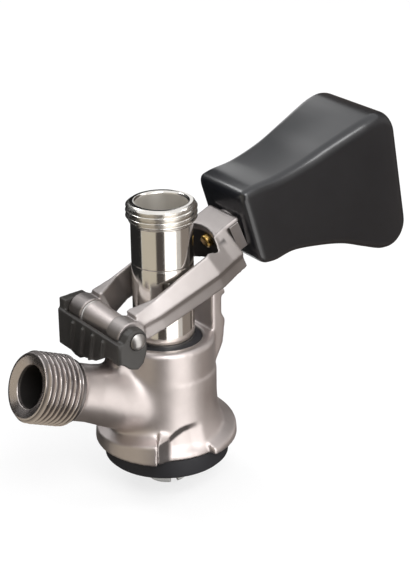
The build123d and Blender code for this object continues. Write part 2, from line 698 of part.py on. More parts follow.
def latch_spring():
    """The spring in the guide tube, drawn at its length with the grip pulled out."""
    start = PLUNGER_END + PULL_OUT + FREE + SPRING_WIRE / 2
    end = GUIDE_END - GLAND_LENGTH - SPRING_WIRE / 2
    length = end - start
    radius = GUIDE_BORE_RADIUS - RUNNING - SPRING_WIRE / 2 - 0.1
    path = Helix(length / SPRING_TURNS, length, radius)
    section = Plane(origin=path @ 0, z_dir=path % 0) * Circle(SPRING_WIRE / 2)
    coil = sweep(section, path=path)
    return on_lever(Pos(start, 0, LATCH_HEIGHT) * Rot(0, 90, 0) * coil)


def spring_gland():
    """The ring in the end of the guide tube that the spring bears on."""
    outer = GUIDE_BORE_RADIUS - SEATED
    gland = along_x(outer, GUIDE_END - GLAND_LENGTH, GUIDE_END, 0, LATCH_HEIGHT)
    gland -= along_x(ROD_RADIUS + RUNNING, GUIDE_END - GLAND_LENGTH - 1, GUIDE_END + 1, 0, LATCH_HEIGHT)
    return on_lever(gland)


def grip_carrier():
    """The metal flange and sleeve that the grip is fixed on; it slides on the guide tube."""
    end = CARRIER_START + CARRIER_FLANGE
    height = CARRIER_TOP - CARRIER_BOTTOM
    middle = (CARRIER_TOP + CARRIER_BOTTOM) / 2
    flange = Pos((CARRIER_START + end) / 2, 0, middle) * Box(CARRIER_FLANGE, 2 * CARRIER_HALF_WIDTH, height)
    flange = chamfer(flange.edges().filter_by(Axis.X), 0.5)
    carrier = flange + along_x(CARRIER_SLEEVE_RADIUS, end - 1, end + CARRIER_SLEEVE, 0, 0)
    bore = along_x(GUIDE_RADIUS + RUNNING, CARRIER_START - 1, end + CARRIER_SLEEVE + 1, 0, LATCH_HEIGHT)
    return on_lever(carrier - bore)


def rod_insert():
    """The brass insert in the grip that takes the end of the rod."""
    insert = along_x(INSERT_RADIUS, INSERT_START, INSERT_START + INSERT_LENGTH, 0, LATCH_HEIGHT)
    return on_lever(insert - along_x(ROD_RADIUS + SEATED, INSERT_START - 1, ROD_END, 0, LATCH_HEIGHT))


def grip_section(station):
    """One rounded section of the grip, from a point on its back to a point on its belly."""
    back_x, back_z, belly_x, belly_z, half_width, corner = station
    height = hypot(back_x - belly_x, back_z - belly_z)
    lean = Vector(back_x - belly_x, 0, back_z - belly_z).normalized()
    plane = Plane(
        origin=((back_x + belly_x) / 2, 0, (back_z + belly_z) / 2),
        x_dir=(0, 1, 0),
        z_dir=(lean.Z, 0, -lean.X),
    )
    return plane * RectangleRounded(2 * half_width, height, corner)


def grip():
    """The black moulded grip, hollow where the guide tube and the sleeve enter it."""
    body = loft([grip_section(station) for station in GRIP_STATIONS])
    flange_end = CARRIER_START + CARRIER_FLANGE
    sleeve_end = flange_end + CARRIER_SLEEVE
    heel = CARRIER_BOTTOM - SEATED
    body -= Pos(flange_end - 10, 0, heel + 20) * Box(20, 60, 40)
    body -= along_x(CARRIER_SLEEVE_RADIUS + SEATED, 40, sleeve_end, 0, 0)
    body -= along_x(GUIDE_RADIUS + RUNNING, 40, INSERT_START, 0, LATCH_HEIGHT)
    body -= along_x(INSERT_RADIUS + SEATED, INSERT_START - 1, INSERT_START + INSERT_LENGTH, 0, LATCH_HEIGHT)
    return on_lever(body)


PARTS = {
    "body_casting": body_casting,
    "keg_seal": keg_seal,
    "neck_lip_seal": neck_lip_seal,
    "neck_bush": neck_bush,
    "neck_wiper": neck_wiper,
    "gas_check_valve": gas_check_valve,
    "gas_valve_retainer": gas_valve_retainer,
    "hinge_pin": hinge_pin,
    "hinge_washer_front": lambda: hinge_washer(-1),
    "hinge_washer_rear": lambda: hinge_washer(1),
    "hinge_clip": hinge_clip,
    "probe_tube": probe_tube,
    "probe_seal": probe_seal,
    "probe_tip": probe_tip,
    "check_ball": check_ball,
    "ball_cage": ball_cage,
    "lever_fork": lever_fork,
    "fork_stud_front": lambda: fork_stud(-1),
    "fork_stud_rear": lambda: fork_stud(1),
    "latch_plunger": latch_plunger,
    "pull_rod": pull_rod,
    "latch_spring": latch_spring,
    "spring_gland": spring_gland,
    "grip_carrier": grip_carrier,
    "rod_insert": rod_insert,
    "grip": grip,
}

os.makedirs("parts", exist_ok=True)
for name, make in PARTS.items():
    export_step(make(), f"parts/{name}.step")
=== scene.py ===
"""Looks of a keg coupler: satin cast body and lever, polished probe, black grip, brass latch.

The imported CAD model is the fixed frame. Cast pieces are softened copies of their CAD solids,
and the threads, the probe, the grip and the turned pieces are surfaces worked out with numpy.
Every length in the classes is in millimetres, and the meshes are written in metres.
"""

import logging
import math
from dataclasses import dataclass, field
from enum import Enum
from typing import Callable, Sequence

import bmesh
import bpy
import numpy as np
from mathutils import Matrix, Vector


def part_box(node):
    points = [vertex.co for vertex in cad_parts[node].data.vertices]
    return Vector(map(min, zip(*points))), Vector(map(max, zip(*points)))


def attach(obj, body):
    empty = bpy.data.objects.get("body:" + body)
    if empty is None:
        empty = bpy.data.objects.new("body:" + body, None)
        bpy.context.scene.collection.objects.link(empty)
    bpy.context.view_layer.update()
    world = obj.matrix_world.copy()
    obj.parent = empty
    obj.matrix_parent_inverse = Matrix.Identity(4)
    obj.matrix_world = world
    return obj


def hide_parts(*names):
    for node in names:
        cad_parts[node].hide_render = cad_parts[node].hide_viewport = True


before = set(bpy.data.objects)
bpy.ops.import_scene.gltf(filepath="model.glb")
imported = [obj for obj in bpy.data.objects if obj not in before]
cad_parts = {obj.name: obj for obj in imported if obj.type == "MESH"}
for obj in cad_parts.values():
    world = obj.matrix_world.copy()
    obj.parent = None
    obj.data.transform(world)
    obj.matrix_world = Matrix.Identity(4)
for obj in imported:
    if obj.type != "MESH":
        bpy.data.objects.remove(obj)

log = logging.getLogger("keg_coupler")

MM = 0.001
# Name of the corner layer that paints shade into bores, thread roots and recesses.
PAINTED_SHADE = "painted_shade"
POLISH = "polish"
PICTURE_HEIGHT = 574
EASE_IN = 0.5
EASE_OUT = 0.52
CREASE = math.radians(34.0)
WELD = 0.002
FLAT = 0.0005
TURN_STEPS = 224
CARD_STEPS = 24
CORNER_STEPS = 9
GRIP_ROWS = 120
HINGE = (-21.7, 52.5)
LEVER_TILT = math.radians(24.0)
BORE_FLOOR = 20.0
COAT_ROUGHNESS = 0.2
RUB_ROUGHNESS = 0.06
Socket = bpy.types.NodeSocket


# ---- shapes -------------------------------------------------------------------------------
class Shade(Enum):
    """How a piece's faces are shaded."""

    SMOOTH = "smooth"
    CREASED = "creased"


def put_mesh(name: str, points: np.ndarray, faces: np.ndarray, shade: Shade) -> bpy.types.Object:
    """Makes one object at the origin from whole arrays.

    Args:
        name: the piece's name.
        points: corner places in millimetres, one row each.
        faces: rows of four corner numbers, turning outwards.
        shade: smooth all over, or creased where faces meet at a sharp angle.

    Returns:
        The linked object.
    """
    mesh = bpy.data.meshes.new(name)
    mesh.vertices.add(len(points))
    mesh.vertices.foreach_set("co", (points * MM).astype(np.float32).ravel())
    mesh.loops.add(faces.size)
    mesh.loops.foreach_set("vertex_index", faces.astype(np.int32).ravel())
    mesh.polygons.add(len(faces))
    starts = np.arange(0, faces.size, faces.shape[1], dtype=np.int32)
    mesh.polygons.foreach_set("loop_start", starts)
    mesh.update(calc_edges=True)
    mesh.validate()
    weld(mesh)
    mesh.polygons.foreach_set("use_smooth", np.ones(len(mesh.polygons), dtype=bool))
    if shade is Shade.CREASED:
        mesh.set_sharp_from_angle(angle=CREASE)
    piece = bpy.data.objects.new(name, mesh)
    bpy.context.scene.collection.objects.link(piece)
    return piece


def weld(mesh: bpy.types.Mesh) -> None:
    """Merges doubled corners, drops what that leaves flat, and turns every face outwards.

    Args:
        mesh: the mesh that is changed.
    """
    work = bmesh.new()
    work.from_mesh(mesh)
    bmesh.ops.remove_doubles(work, verts=work.verts[:], dist=WELD * MM)
    bmesh.ops.dissolve_degenerate(work, edges=work.edges[:], dist=FLAT * MM)
    bmesh.ops.recalc_face_normals(work, faces=work.faces[:])
    work.to_mesh(mesh)
    work.free()


def grid_faces(rows: int, columns: int, ring: bool) -> np.ndarray:
    """Corner numbers of the quads of a grid whose columns close on themselves.

    Args:
        rows: rows of the grid.
        columns: columns of the grid.
        ring: whether the last row joins the first.

    Returns:
        An array of four corner numbers a row.
    """
    number = np.arange(rows * columns).reshape(rows, columns)
    upper = np.roll(number, -1, axis=0) if ring else number[1:]
    lower = number if ring else number[:-1]
    corners = [lower, np.roll(lower, -1, axis=1), np.roll(upper, -1, axis=1), upper]
    return np.stack(corners, axis=-1).reshape(-1, 4)


def rounded(corners: Sequence[tuple[float, float, float]], steps: int = 5) -> np.ndarray:
    """A flat outline with its corners rounded.

    Each corner is given as (across, along, radius). It becomes a quadratic curve that leaves the
    line before it and joins the line after it at that distance from the corner, or at half of a
    shorter line: (1-t)^2 A + 2t(1-t) B + t^2 C.

    Args:
        corners: the outline's corners; it closes on itself.
        steps: points in each corner.

    Returns:
        The outline's points, one row each.
    """
    data = np.array(corners, float)
    place, cut = data[:, :2], data[:, 2]
    before = np.roll(place, 1, axis=0) - place
    after = np.roll(place, -1, axis=0) - place
    long_before = np.linalg.norm(before, axis=1)
    long_after = np.linalg.norm(after, axis=1)
    reach = np.minimum(cut, 0.49 * np.minimum(long_before, long_after))[:, None]
    start = place + before / long_before[:, None] * reach
    end = place + after / long_after[:, None] * reach
    t = np.linspace(0.0, 1.0, steps)[None, :, None]
    curve = (1 - t) ** 2 * start[:, None] + 2 * t * (1 - t) * place[:, None] + t**2 * end[:, None]
    return curve.reshape(-1, 2)


def round_angles(segments: int) -> np.ndarray:
    """Angles at equal steps round a circle, in radians."""
    return np.linspace(0.0, 2.0 * np.pi, segments, endpoint=False)


def upright(radius: float, heights: np.ndarray) -> np.ndarray:
    """Outline points of one radius at the heights."""
    return np.stack([np.full_like(heights, radius), heights], axis=-1)


def lathe(outline: np.ndarray, segments: int) -> np.ndarray:
    """A grid of the outline turned round Z: (r cos a, r sin a, z) for each point and angle a.

    Args:
        outline: points as (radius, height), one row each.
        segments: steps round the axis.

    Returns:
        The grid's points, by outline point and then by angle.
    """
    angle = round_angles(segments)
    radius = outline[:, :1]
    height = np.broadcast_to(outline[:, 1:], (len(outline), segments))
    return np.stack([radius * np.cos(angle), radius * np.sin(angle), height], axis=-1)


@dataclass(frozen=True)
class Place:
    """A local frame: its origin in millimetres and its three unit axes as rows."""

    origin: tuple[float, float, float]
    axes: tuple[tuple[float, float, float], ...]

    def put(self, points: np.ndarray) -> np.ndarray:
        """Carries local points into the row's frame: origin + x X + y Y + z Z."""
        return points.reshape(-1, 3) @ np.array(self.axes) + np.array(self.origin)

    def local(self, points: np.ndarray) -> np.ndarray:
        """Carries points of the row's frame into this one."""
        return (points - np.array(self.origin)) @ np.array(self.axes).T


@dataclass(frozen=True)
class Thread:
    """A pipe thread with round crests and roots."""

    crest: float = 11.456
    depth: float = 1.162
    pitch: float = 1.814

    def radius(self, angle: np.ndarray, height: np.ndarray, strength: np.ndarray) -> np.ndarray:
        """Radius of the helical surface.

        The phase is height / pitch less the share of a turn. A triangle wave of the phase, eased
        by a cosine, runs from 0 in the root to 1 on the crest, and strength fades it at the ends.

        Args:
            angle: angle round the axis, in radians.
            height: distance along the axis.
            strength: 0 where the thread has run out, 1 where it is whole.

        Returns:
            The radius at each point.
        """
        phase = height / self.pitch - angle / (2.0 * np.pi)
        wave = np.abs(2.0 * (phase - np.floor(phase)) - 1.0)
        wave = np.clip((wave - 0.5) * 1.18 + 0.5, 0.0, 1.0)
        ridge = 0.5 - 0.5 * np.cos(np.pi * wave)
        return self.crest - self.depth * (1.0 - ridge * strength)


def eased(value: np.ndarray, low: float, high: float) -> np.ndarray:
    """Rises smoothly from 0 at low to 1 at high: 3t^2 - 2t^3."""
    t = np.clip((value - low) / (high - low), 0.0, 1.0)
    return t * t * (3.0 - 2.0 * t)


def neighbour_mean(mesh: bpy.types.Mesh) -> Callable[[np.ndarray], np.ndarray]:
    """A function that gives each corner the mean place of the corners it shares an edge with.

    Args:
        mesh: the mesh whose edges are read.

    Returns:
        The function, from corner places to their neighbours' mean places.
    """
    count = len(mesh.vertices)
    edges = np.empty(len(mesh.edges) * 2, dtype=np.int32)
    mesh.edges.foreach_get("vertices", edges)
    first, second = edges[0::2], edges[1::2]
    ends = np.concatenate([first, second])
    others = np.concatenate([second, first])
    share = np.maximum(np.bincount(ends, minlength=count), 1)[:, None]

    def mean(points: np.ndarray) -> np.ndarray:
        """The mean of each corner's neighbours."""
        sums = [np.bincount(ends, weights=points[others, k], minlength=count) for k in range(3)]
        return np.stack(sums, axis=-1) / share

    return mean


def corners_of(mesh: bpy.types.Mesh) -> np.ndarray:
    """A mesh's corner places.

    Args:
        mesh: the mesh that is read.

    Returns:
        The places in millimetres, one row each.
    """
    places = np.empty(len(mesh.vertices) * 3, dtype=np.float32)
    mesh.vertices.foreach_get("co", places)
    return places.reshape(-1, 3).astype(float) / MM


def set_corners(mesh: bpy.types.Mesh, points: np.ndarray) -> None:
    """Writes corner places, given in millimetres."""
    mesh.vertices.foreach_set("co", (points * MM).astype(np.float32).ravel())
    mesh.update()


def mark(piece: bpy.types.Object, layer: str, share: np.ndarray) -> None:
    """Writes a value from 0 to 1 at each corner.

    Args:
        piece: the piece that gets the values.
        layer: the painted shade layer, darkest deep in bores, thread roots, slot walls and other
            recesses; or POLISH, how finely machined.
        share: one value for each corner.
    """
    values = piece.data.attributes.new(layer, "FLOAT", "POINT")
    values.data.foreach_set("value", share.astype(np.float32))


@dataclass
class SoftCopy:
    """A copy of a CAD solid with cast or moulded edges in place of its sharp ones."""

    node: str
    name: str
    voxel: float = 0.42
    passes: int = 12
    shape: Callable[[np.ndarray], np.ndarray] | None = None
    blend: Callable[[np.ndarray], np.ndarray] | None = None
    blend_passes: int = 160
    last_passes: int = 3
    calm_passes: int = 2
    block: np.ndarray | None = None

    def build(self) -> bpy.types.Object:
        """Merges a copy of the node's triangles, remeshes it finely and eases its edges.

        Each pass moves every corner 0.5 of the way to its neighbours' mean and then 0.52 back
        out by the same rule, so edges round off and the volume stays. Where blend gives a share,
        many more passes fill the corner between two bodies. A block of eight corners may be
        joined on before the remesh.

        Returns:
            The new object, which stands for the node.
        """
        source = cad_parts[self.node]
        mesh = source.data.copy()
        weld(mesh)
        if self.block is not None:
            self._join_block(mesh)
        piece = bpy.data.objects.new(self.name, mesh)
        bpy.context.scene.collection.objects.link(piece)
        remesh = piece.modifiers.new("even", "REMESH")
        remesh.mode = "VOXEL"
        remesh.voxel_size = self.voxel * MM
        bpy.context.view_layer.update()
        posed = piece.evaluated_get(bpy.context.evaluated_depsgraph_get())
        even = bpy.data.meshes.new_from_object(posed)
        piece.modifiers.clear()
        piece.data = even
        even.name = self.name
        bpy.data.meshes.remove(mesh)
        mean = neighbour_mean(even)
        points = corners_of(even)
        for _ in range(self.passes):
            points = points + EASE_IN * (mean(points) - points)
            points = points - EASE_OUT * (mean(points) - points)
        for _ in range(self.calm_passes):
            points = points + EASE_IN * (mean(points) - points)
        if self.blend is not None:
            share = 0.5 * self.blend(points)[:, None]
            for _ in range(self.blend_passes):
                points = points + share * (mean(points) - points)
        if self.shape is not None:
            points = self.shape(points)
            for _ in range(self.last_passes):
                points = points + EASE_IN * (mean(points) - points)
        low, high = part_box(self.node)
        points = np.clip(points, np.array(low) / MM, np.array(high) / MM)
        set_corners(even, points)
        even.polygons.foreach_set("use_smooth", np.ones(len(even.polygons), dtype=bool))
        even.materials.clear()
        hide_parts(self.node)
        return piece

    def _join_block(self, mesh: bpy.types.Mesh) -> None:
        """Adds the block's six faces: its corners are a lower ring of four, then an upper one.

        Args:
            mesh: the mesh that the block joins.
        """
        work = bmesh.new()
        work.from_mesh(mesh)
        made = [work.verts.new(corner) for corner in self.block * MM]
        sides = [(k, (k + 1) % 4, (k + 1) % 4 + 4, k + 4) for k in range(4)]
        for face in [(3, 2, 1, 0), (4, 5, 6, 7), *sides]:
            work.faces.new([made[k] for k in face])
        work.to_mesh(mesh)
        work.free()


# ---- materials ----------------------------------------------------------------------------
class Nodes:
    """Adds nodes to one tree, and links them by socket."""

    def __init__(self, tree: bpy.types.NodeTree) -> None:
        """Takes the tree that is filled."""
        self.tree = tree

    def add(self, kind: str, **values: object) -> bpy.types.Node:
        """Adds a node and sets what is named: a property, or a socket with its spaces as _.

        Args:
            kind: the node's type name.
            values: property or socket values; a socket value may be another socket.

        Returns:
            The new node.
        """
        node = self.tree.nodes.new(kind)
        for key, value in values.items():
            if hasattr(node, key):
                setattr(node, key, value)
                continue
            socket = node.inputs[int(key[1:]) if key[1:].isdigit() else key.replace("_", " ")]
            if isinstance(value, Socket):
                self.tree.links.new(value, socket)
            else:
                socket.default_value = value
        return node

    def maths(self, operation: str, first: object, second: object = 0.0) -> Socket:
        """One Math node's output."""
        return self.add("ShaderNodeMath", operation=operation, i0=first, i1=second).outputs[0]

    def noise(self, vector: Socket, scale: object, detail: float) -> Socket:
        """A Noise Texture node's value."""
        kind = "ShaderNodeTexNoise"
        return self.add(kind, Vector=vector, Scale=scale, Detail=detail).outputs[0]

    def spread(self, value: object, low: float, high: float) -> Socket:
        """Carries a 0 to 1 value to another range.

        Args:
            value: the value, or the socket that gives it.
            low: what 0 becomes.
            high: what 1 becomes.

        Returns:
            The carried value.
        """
        node = self.add("ShaderNodeMapRange", Value=value)
        node.inputs["To Min"].default_value = low
        node.inputs["To Max"].default_value = high
        return node.outputs[0]

    def blend(self, mask: object, first: object, second: object) -> Socket:
        """Mixes two colours.

        Args:
            mask: 0 for the first colour, 1 for the second.
            first: a colour, or the socket that gives it.
            second: the other colour.

        Returns:
            The mixed colour.
        """
        node = self.add("ShaderNodeMix", data_type="RGBA")
        for index, value in ((0, mask), (6, first), (7, second)):
            if isinstance(value, Socket):
                self.tree.links.new(value, node.inputs[index])
            else:
                node.inputs[index].default_value = value
        return node.outputs[2]

    def shown(self) -> Socket:
        """1 on a ray that is seen, reflected or passed through glass, and 0 on any other."""
        path = self.add("ShaderNodeLightPath").outputs
        seen = self.maths("MAXIMUM", path["Is Camera Ray"], path["Is Glossy Ray"])
        return self.maths("MAXIMUM", seen, path["Is Transmission Ray"])


def new_group(name: str, inputs: dict[str, tuple[str, float]], outputs: Sequence[str]) -> tuple:
    """An empty shader node group with named sockets.

    Args:
        name: the group's name.
        inputs: socket name to (socket type, default value).
        outputs: names of the float outputs.

    Returns:
        The group, its node builder, its input node and its output node.
    """
    tree = bpy.data.node_groups.new(name, "ShaderNodeTree")
    for label, (kind, value) in inputs.items():
        socket = tree.interface.new_socket(label, in_out="INPUT", socket_type=kind)
        if kind == "NodeSocketFloat":
            socket.default_value = value
    for label in outputs:
        tree.interface.new_socket(label, in_out="OUTPUT", socket_type="NodeSocketFloat")
    nodes = Nodes(tree)
    return tree, nodes, nodes.add("NodeGroupInput"), nodes.add("NodeGroupOutput")


class Effects:
    """The node groups that several finishes share. Each is built once."""

    def __init__(self) -> None:
        """Builds the three groups."""
        self.grain = self._grain()
        self.wear = self._wear()
        self.handling = self._handling()

    @staticmethod
    def _grain() -> bpy.types.NodeTree:
        """Fine relief of a blasted or moulded skin: two sizes of noise, mixed by Coarse.

        Returns:
            The group.
        """
        inputs = {
            "Vector": ("NodeSocketVector", 0.0),
            "Scale": ("NodeSocketFloat", 3000.0),
            "Coarse": ("NodeSocketFloat", 0.4),
        }
        tree, nodes, given, out = new_group("surface_grain", inputs, ["Height", "Tone"])
        vector, scale, coarse = given.outputs[:3]
        fine = nodes.noise(vector, scale, 2.0)
        wide = nodes.noise(vector, nodes.maths("MULTIPLY", scale, 0.13), 2.0)
        part = nodes.maths("MULTIPLY", wide, coarse)
        rest = nodes.maths("SUBTRACT", 1.0, coarse)
        height = nodes.maths("ADD", part, nodes.maths("MULTIPLY", fine, rest))
        tree.links.new(height, out.inputs[0])
        tree.links.new(wide, out.inputs[1])
        return tree

    @staticmethod
    def _wear() -> bpy.types.NodeTree:
        """Rubbed edges: where the bevelled normal leaves the face's own, broken up by noise.

        Returns:
            The group.
        """
        inputs = {
            "Vector": ("NodeSocketVector", 0.0),
            "Width": ("NodeSocketFloat", 0.0006),
            "Strength": ("NodeSocketFloat", 1.0),
        }
        tree, nodes, given, out = new_group("edge_wear", inputs, ["Mask"])
        bevel = nodes.add("ShaderNodeBevel", samples=4, Radius=given.outputs[1])
        face = nodes.add("ShaderNodeNewGeometry")
        dot = nodes.add("ShaderNodeVectorMath", operation="DOT_PRODUCT",
                        i0=bevel.outputs[0], i1=face.outputs["Normal"])
        edge = nodes.maths("SUBTRACT", 1.0, dot.outputs["Value"])
        edge = nodes.maths("MULTIPLY", edge, 6.0)
        rough = nodes.spread(nodes.noise(given.outputs[0], 420.0, 3.0), -0.2, 1.4)
        mask = nodes.maths("MULTIPLY", nodes.maths("MULTIPLY", edge, rough), given.outputs[2])
        limited = nodes.add("ShaderNodeClamp", Value=mask)
        tree.links.new(limited.outputs[0], out.inputs[0])
        return tree

    @staticmethod
    def _handling() -> bpy.types.NodeTree:
        """Smudges and faint rub marks from use: a soft patchy mask and a streaky one.

        Returns:
            The group.
        """
        inputs = {
            "Vector": ("NodeSocketVector", 0.0),
            "Patch": ("NodeSocketFloat", 70.0),
            "Streak": ("NodeSocketFloat", 900.0),
        }
        tree, nodes, given, out = new_group("handling_marks", inputs, ["Smudge", "Rub"])
        patch = nodes.noise(given.outputs[0], given.outputs[1], 3.0)
        soft = nodes.add("ShaderNodeMapRange", Value=patch, From_Min=0.35, From_Max=0.7)
        bent = nodes.add("ShaderNodeMapping", Vector=given.outputs[0])
        bent.inputs["Rotation"].default_value = (0.3, 0.5, 0.7)
        bent.inputs["Scale"].default_value = (1.0, 0.09, 1.0)
        streak = nodes.noise(bent.outputs[0], given.outputs[2], 2.0)
        thin = nodes.add("ShaderNodeMapRange", Value=streak, From_Min=0.62, From_Max=0.8)
        tree.links.new(soft.outputs[0], out.inputs[0])
        tree.links.new(thin.outputs[0], out.inputs[1])
        return tree


@dataclass(frozen=True)
class Finish:
    """One finish of the coupler, as a Principled material with its grain, marks, worn edges and
    painted shade.
    """

    name: str
    colour: tuple[float, float, float]
    worn: tuple[float, float, float]
    metallic: float
    smooth: float
    rough: float
    grain_scale: float
    grain_height: float
    coarse: float = 0.4
    edge_width: float = 0.5
    edge_strength: float = 0.6
    tone: float = 0.06
    coat: float = 0.0
    turned: bool = False
    machined: float = 0.0
    specular: float = 0.5
    # how far the painted shade darkens the colour, and how much rougher it makes the surface
    painted_shade_dark: float = 0.5
    hollow_rough: float = 0.3

    def dimmed(self, share: float) -> tuple[float, ...]:
        """The colour made darker by a share, with its alpha."""
        return tuple(c * (1.0 - share) for c in self.colour) + (1.0,)

    def build(self, effects: Effects) -> bpy.types.Material:
        """Builds the material.

        Args:
            effects: the shared node groups.

        Returns:
            The material.
        """
        material = bpy.data.materials.new(self.name)
        material.use_nodes = True
        tree = material.node_tree
        nodes = Nodes(tree)
        shader = tree.nodes["Principled BSDF"]
        shader.inputs["Metallic"].default_value = self.metallic
        shader.inputs["Specular IOR Level"].default_value = self.specular
        if self.coat:
            shader.inputs["Coat Weight"].default_value = self.coat
            shader.inputs["Coat Roughness"].default_value = COAT_ROUGHNESS
        place = nodes.add("ShaderNodeTexCoord").outputs["Object"]
        grain = nodes.add("ShaderNodeGroup", node_tree=effects.grain)
        grain.inputs["Scale"].default_value = self.grain_scale
        grain.inputs["Coarse"].default_value = self.coarse
        marks = nodes.add("ShaderNodeGroup", node_tree=effects.handling)
        wear = nodes.add("ShaderNodeGroup", node_tree=effects.wear)
        wear.inputs["Width"].default_value = self.edge_width * MM
        wear.inputs["Strength"].default_value = self.edge_strength
        for group in (grain, marks, wear):
            tree.links.new(place, group.inputs["Vector"])
        dark = self.dimmed(2.0 * self.tone)
        base = nodes.blend(grain.outputs["Tone"], dark, self.colour + (1.0,))
        base = nodes.blend(wear.outputs["Mask"], base, self.worn + (1.0,))
        # Painted shade: the colour is darkened, and made rougher, by the painted-shade layer in
        # bores, thread roots and recesses.
        painted_shade = nodes.add("ShaderNodeAttribute", attribute_name=PAINTED_SHADE).outputs["Fac"]
        base = nodes.blend(painted_shade, base, self.dimmed(self.painted_shade_dark))
        tree.links.new(base, shader.inputs["Base Color"])
        gloss = nodes.spread(marks.outputs["Smudge"], self.smooth, self.rough)
        rubbed = nodes.maths("MULTIPLY", marks.outputs["Rub"], RUB_ROUGHNESS)
        gloss = nodes.maths("ADD", gloss, rubbed)
        gloss = nodes.maths("ADD", gloss, nodes.maths("MULTIPLY", painted_shade, self.hollow_rough))
        polish = nodes.add("ShaderNodeAttribute", attribute_name=POLISH).outputs["Fac"]
        gloss = nodes.maths("SUBTRACT", gloss, nodes.maths("MULTIPLY", polish, self.machined))
        tree.links.new(gloss, shader.inputs["Roughness"])
        relief = grain.outputs["Height"]
        if self.turned:
            relief = self._turning(nodes, place, relief)
        bump = nodes.add("ShaderNodeBump", Height=relief, Strength=1.0)
        bump.inputs["Distance"].default_value = self.grain_height * MM
        tree.links.new(bump.outputs[0], shader.inputs["Normal"])
        return material

    @staticmethod
    def _turning(nodes: Nodes, place: Socket, grain: Socket) -> Socket:
        """Adds fine lathe marks round the Z axis: noise stretched along each ring.

        Args:
            nodes: the material's node builder.
            place: Object coordinates.
            grain: the grain's height.

        Returns:
            The height of both together.
        """
        squeeze = nodes.add("ShaderNodeMapping", Vector=place)
        squeeze.inputs["Scale"].default_value = (0.02, 0.02, 1.0)
        rings = nodes.noise(squeeze.outputs[0], 4200.0, 3.0)
        return nodes.maths("ADD", nodes.maths("MULTIPLY", grain, 0.3), rings)


FINISHES = {finish.name: finish for finish in (
    Finish(
        "satin_casting", colour=(0.64, 0.585, 0.57), worn=(0.82, 0.77, 0.755), metallic=1.0,
        smooth=0.42, rough=0.5, grain_scale=2600.0, grain_height=0.012, coarse=0.45,
        edge_width=0.6, edge_strength=0.35, tone=0.05, machined=0.22, painted_shade_dark=0.93,
    ),
    Finish(
        "lever_casting", colour=(0.41, 0.38, 0.372), worn=(0.56, 0.53, 0.52), metallic=1.0,
        smooth=0.4, rough=0.5, grain_scale=3000.0, grain_height=0.014, coarse=0.4, edge_width=0.6,
        edge_strength=0.35, tone=0.05, painted_shade_dark=0.85,
    ),
    Finish(
        "polished_steel", colour=(0.84, 0.815, 0.775), worn=(0.9, 0.89, 0.87), metallic=1.0,
        smooth=0.09, rough=0.15, grain_scale=1500.0, grain_height=0.0012, coarse=0.3,
        edge_width=0.3, edge_strength=0.3, tone=0.02, turned=True, painted_shade_dark=0.1,
    ),
    Finish(
        "bright_steel", colour=(0.42, 0.41, 0.4), worn=(0.6, 0.585, 0.575), metallic=1.0,
        smooth=0.26, rough=0.36, grain_scale=2200.0, grain_height=0.003, coarse=0.3,
        edge_width=0.3, edge_strength=0.4, tone=0.03,
    ),
    Finish(
        "brass", colour=(0.7, 0.46, 0.15), worn=(0.9, 0.68, 0.32), metallic=1.0, smooth=0.2,
        rough=0.3, grain_scale=2400.0, grain_height=0.004, coarse=0.4, edge_width=0.3,
        edge_strength=0.5, tone=0.12,
    ),
    Finish(
        "black_rubber", colour=(0.014, 0.014, 0.018), worn=(0.03, 0.03, 0.034), metallic=0.0,
        smooth=0.5, rough=0.62, grain_scale=3500.0, grain_height=0.012, coarse=0.5,
        edge_width=0.4, edge_strength=0.3, tone=0.15,
    ),
    Finish(
        "clip_plastic", colour=(0.034, 0.031, 0.028), worn=(0.07, 0.067, 0.064), metallic=0.0,
        smooth=0.38, rough=0.5, grain_scale=2600.0, grain_height=0.02, coarse=0.5, edge_width=0.4,
        edge_strength=0.4, tone=0.15,
    ),
    Finish(
        "grip_plastic", colour=(0.005, 0.006, 0.009), worn=(0.03, 0.03, 0.034), metallic=0.0,
        smooth=0.3, rough=0.38, grain_scale=2300.0, grain_height=0.004, coarse=0.5,
        edge_width=0.5, edge_strength=0.15, tone=0.15, coat=0.8,
    ),
    Finish(
        "white_plastic", colour=(0.78, 0.77, 0.74), worn=(0.85, 0.85, 0.83), metallic=0.0,
        smooth=0.38, rough=0.48, grain_scale=2000.0, grain_height=0.004, coarse=0.5,
        edge_width=0.3, edge_strength=0.3, tone=0.03,
    ),
    Finish(
        "spring_steel", colour=(0.5, 0.48, 0.46), worn=(0.7, 0.68, 0.66), metallic=1.0,
        smooth=0.2, rough=0.3, grain_scale=2500.0, grain_height=0.002, coarse=0.4, edge_width=0.2,
        edge_strength=0.4, tone=0.05,
    ),
)}


class Dresser:
    """Holds the built materials, and dresses pieces and CAD nodes in them."""

    def __init__(self) -> None:
        """Builds every finish once."""
        effects = Effects()
        self.materials = {name: finish.build(effects) for name, finish in FINISHES.items()}

    def dress(self, piece: bpy.types.Object, slot: str, body: str) -> bpy.types.Object:
        """Gives a new piece its finish, its record slot and its body.

        Args:
            piece: the new piece, already in its place.
            slot: the finish, named as the record's slot.
            body: the CAD body that the piece moves with.

        Returns:
            The same piece.
        """
        piece.data.materials.clear()
        piece.data.materials.append(self.materials[slot])
        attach(piece, body)
        log.info("%s: %d faces, %s, on %s", piece.name, len(piece.data.polygons), slot, body)
        return piece

    def dress_nodes(self, slots: dict[str, str]) -> None:
        """Gives CAD nodes their finishes.

        Args:
            slots: node name to finish name.
        """
        for node, slot in slots.items():
            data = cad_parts[node].data
            data.materials.clear()
            data.materials.append(self.materials[slot])
            log.info("%s: CAD node in %s", node, slot)


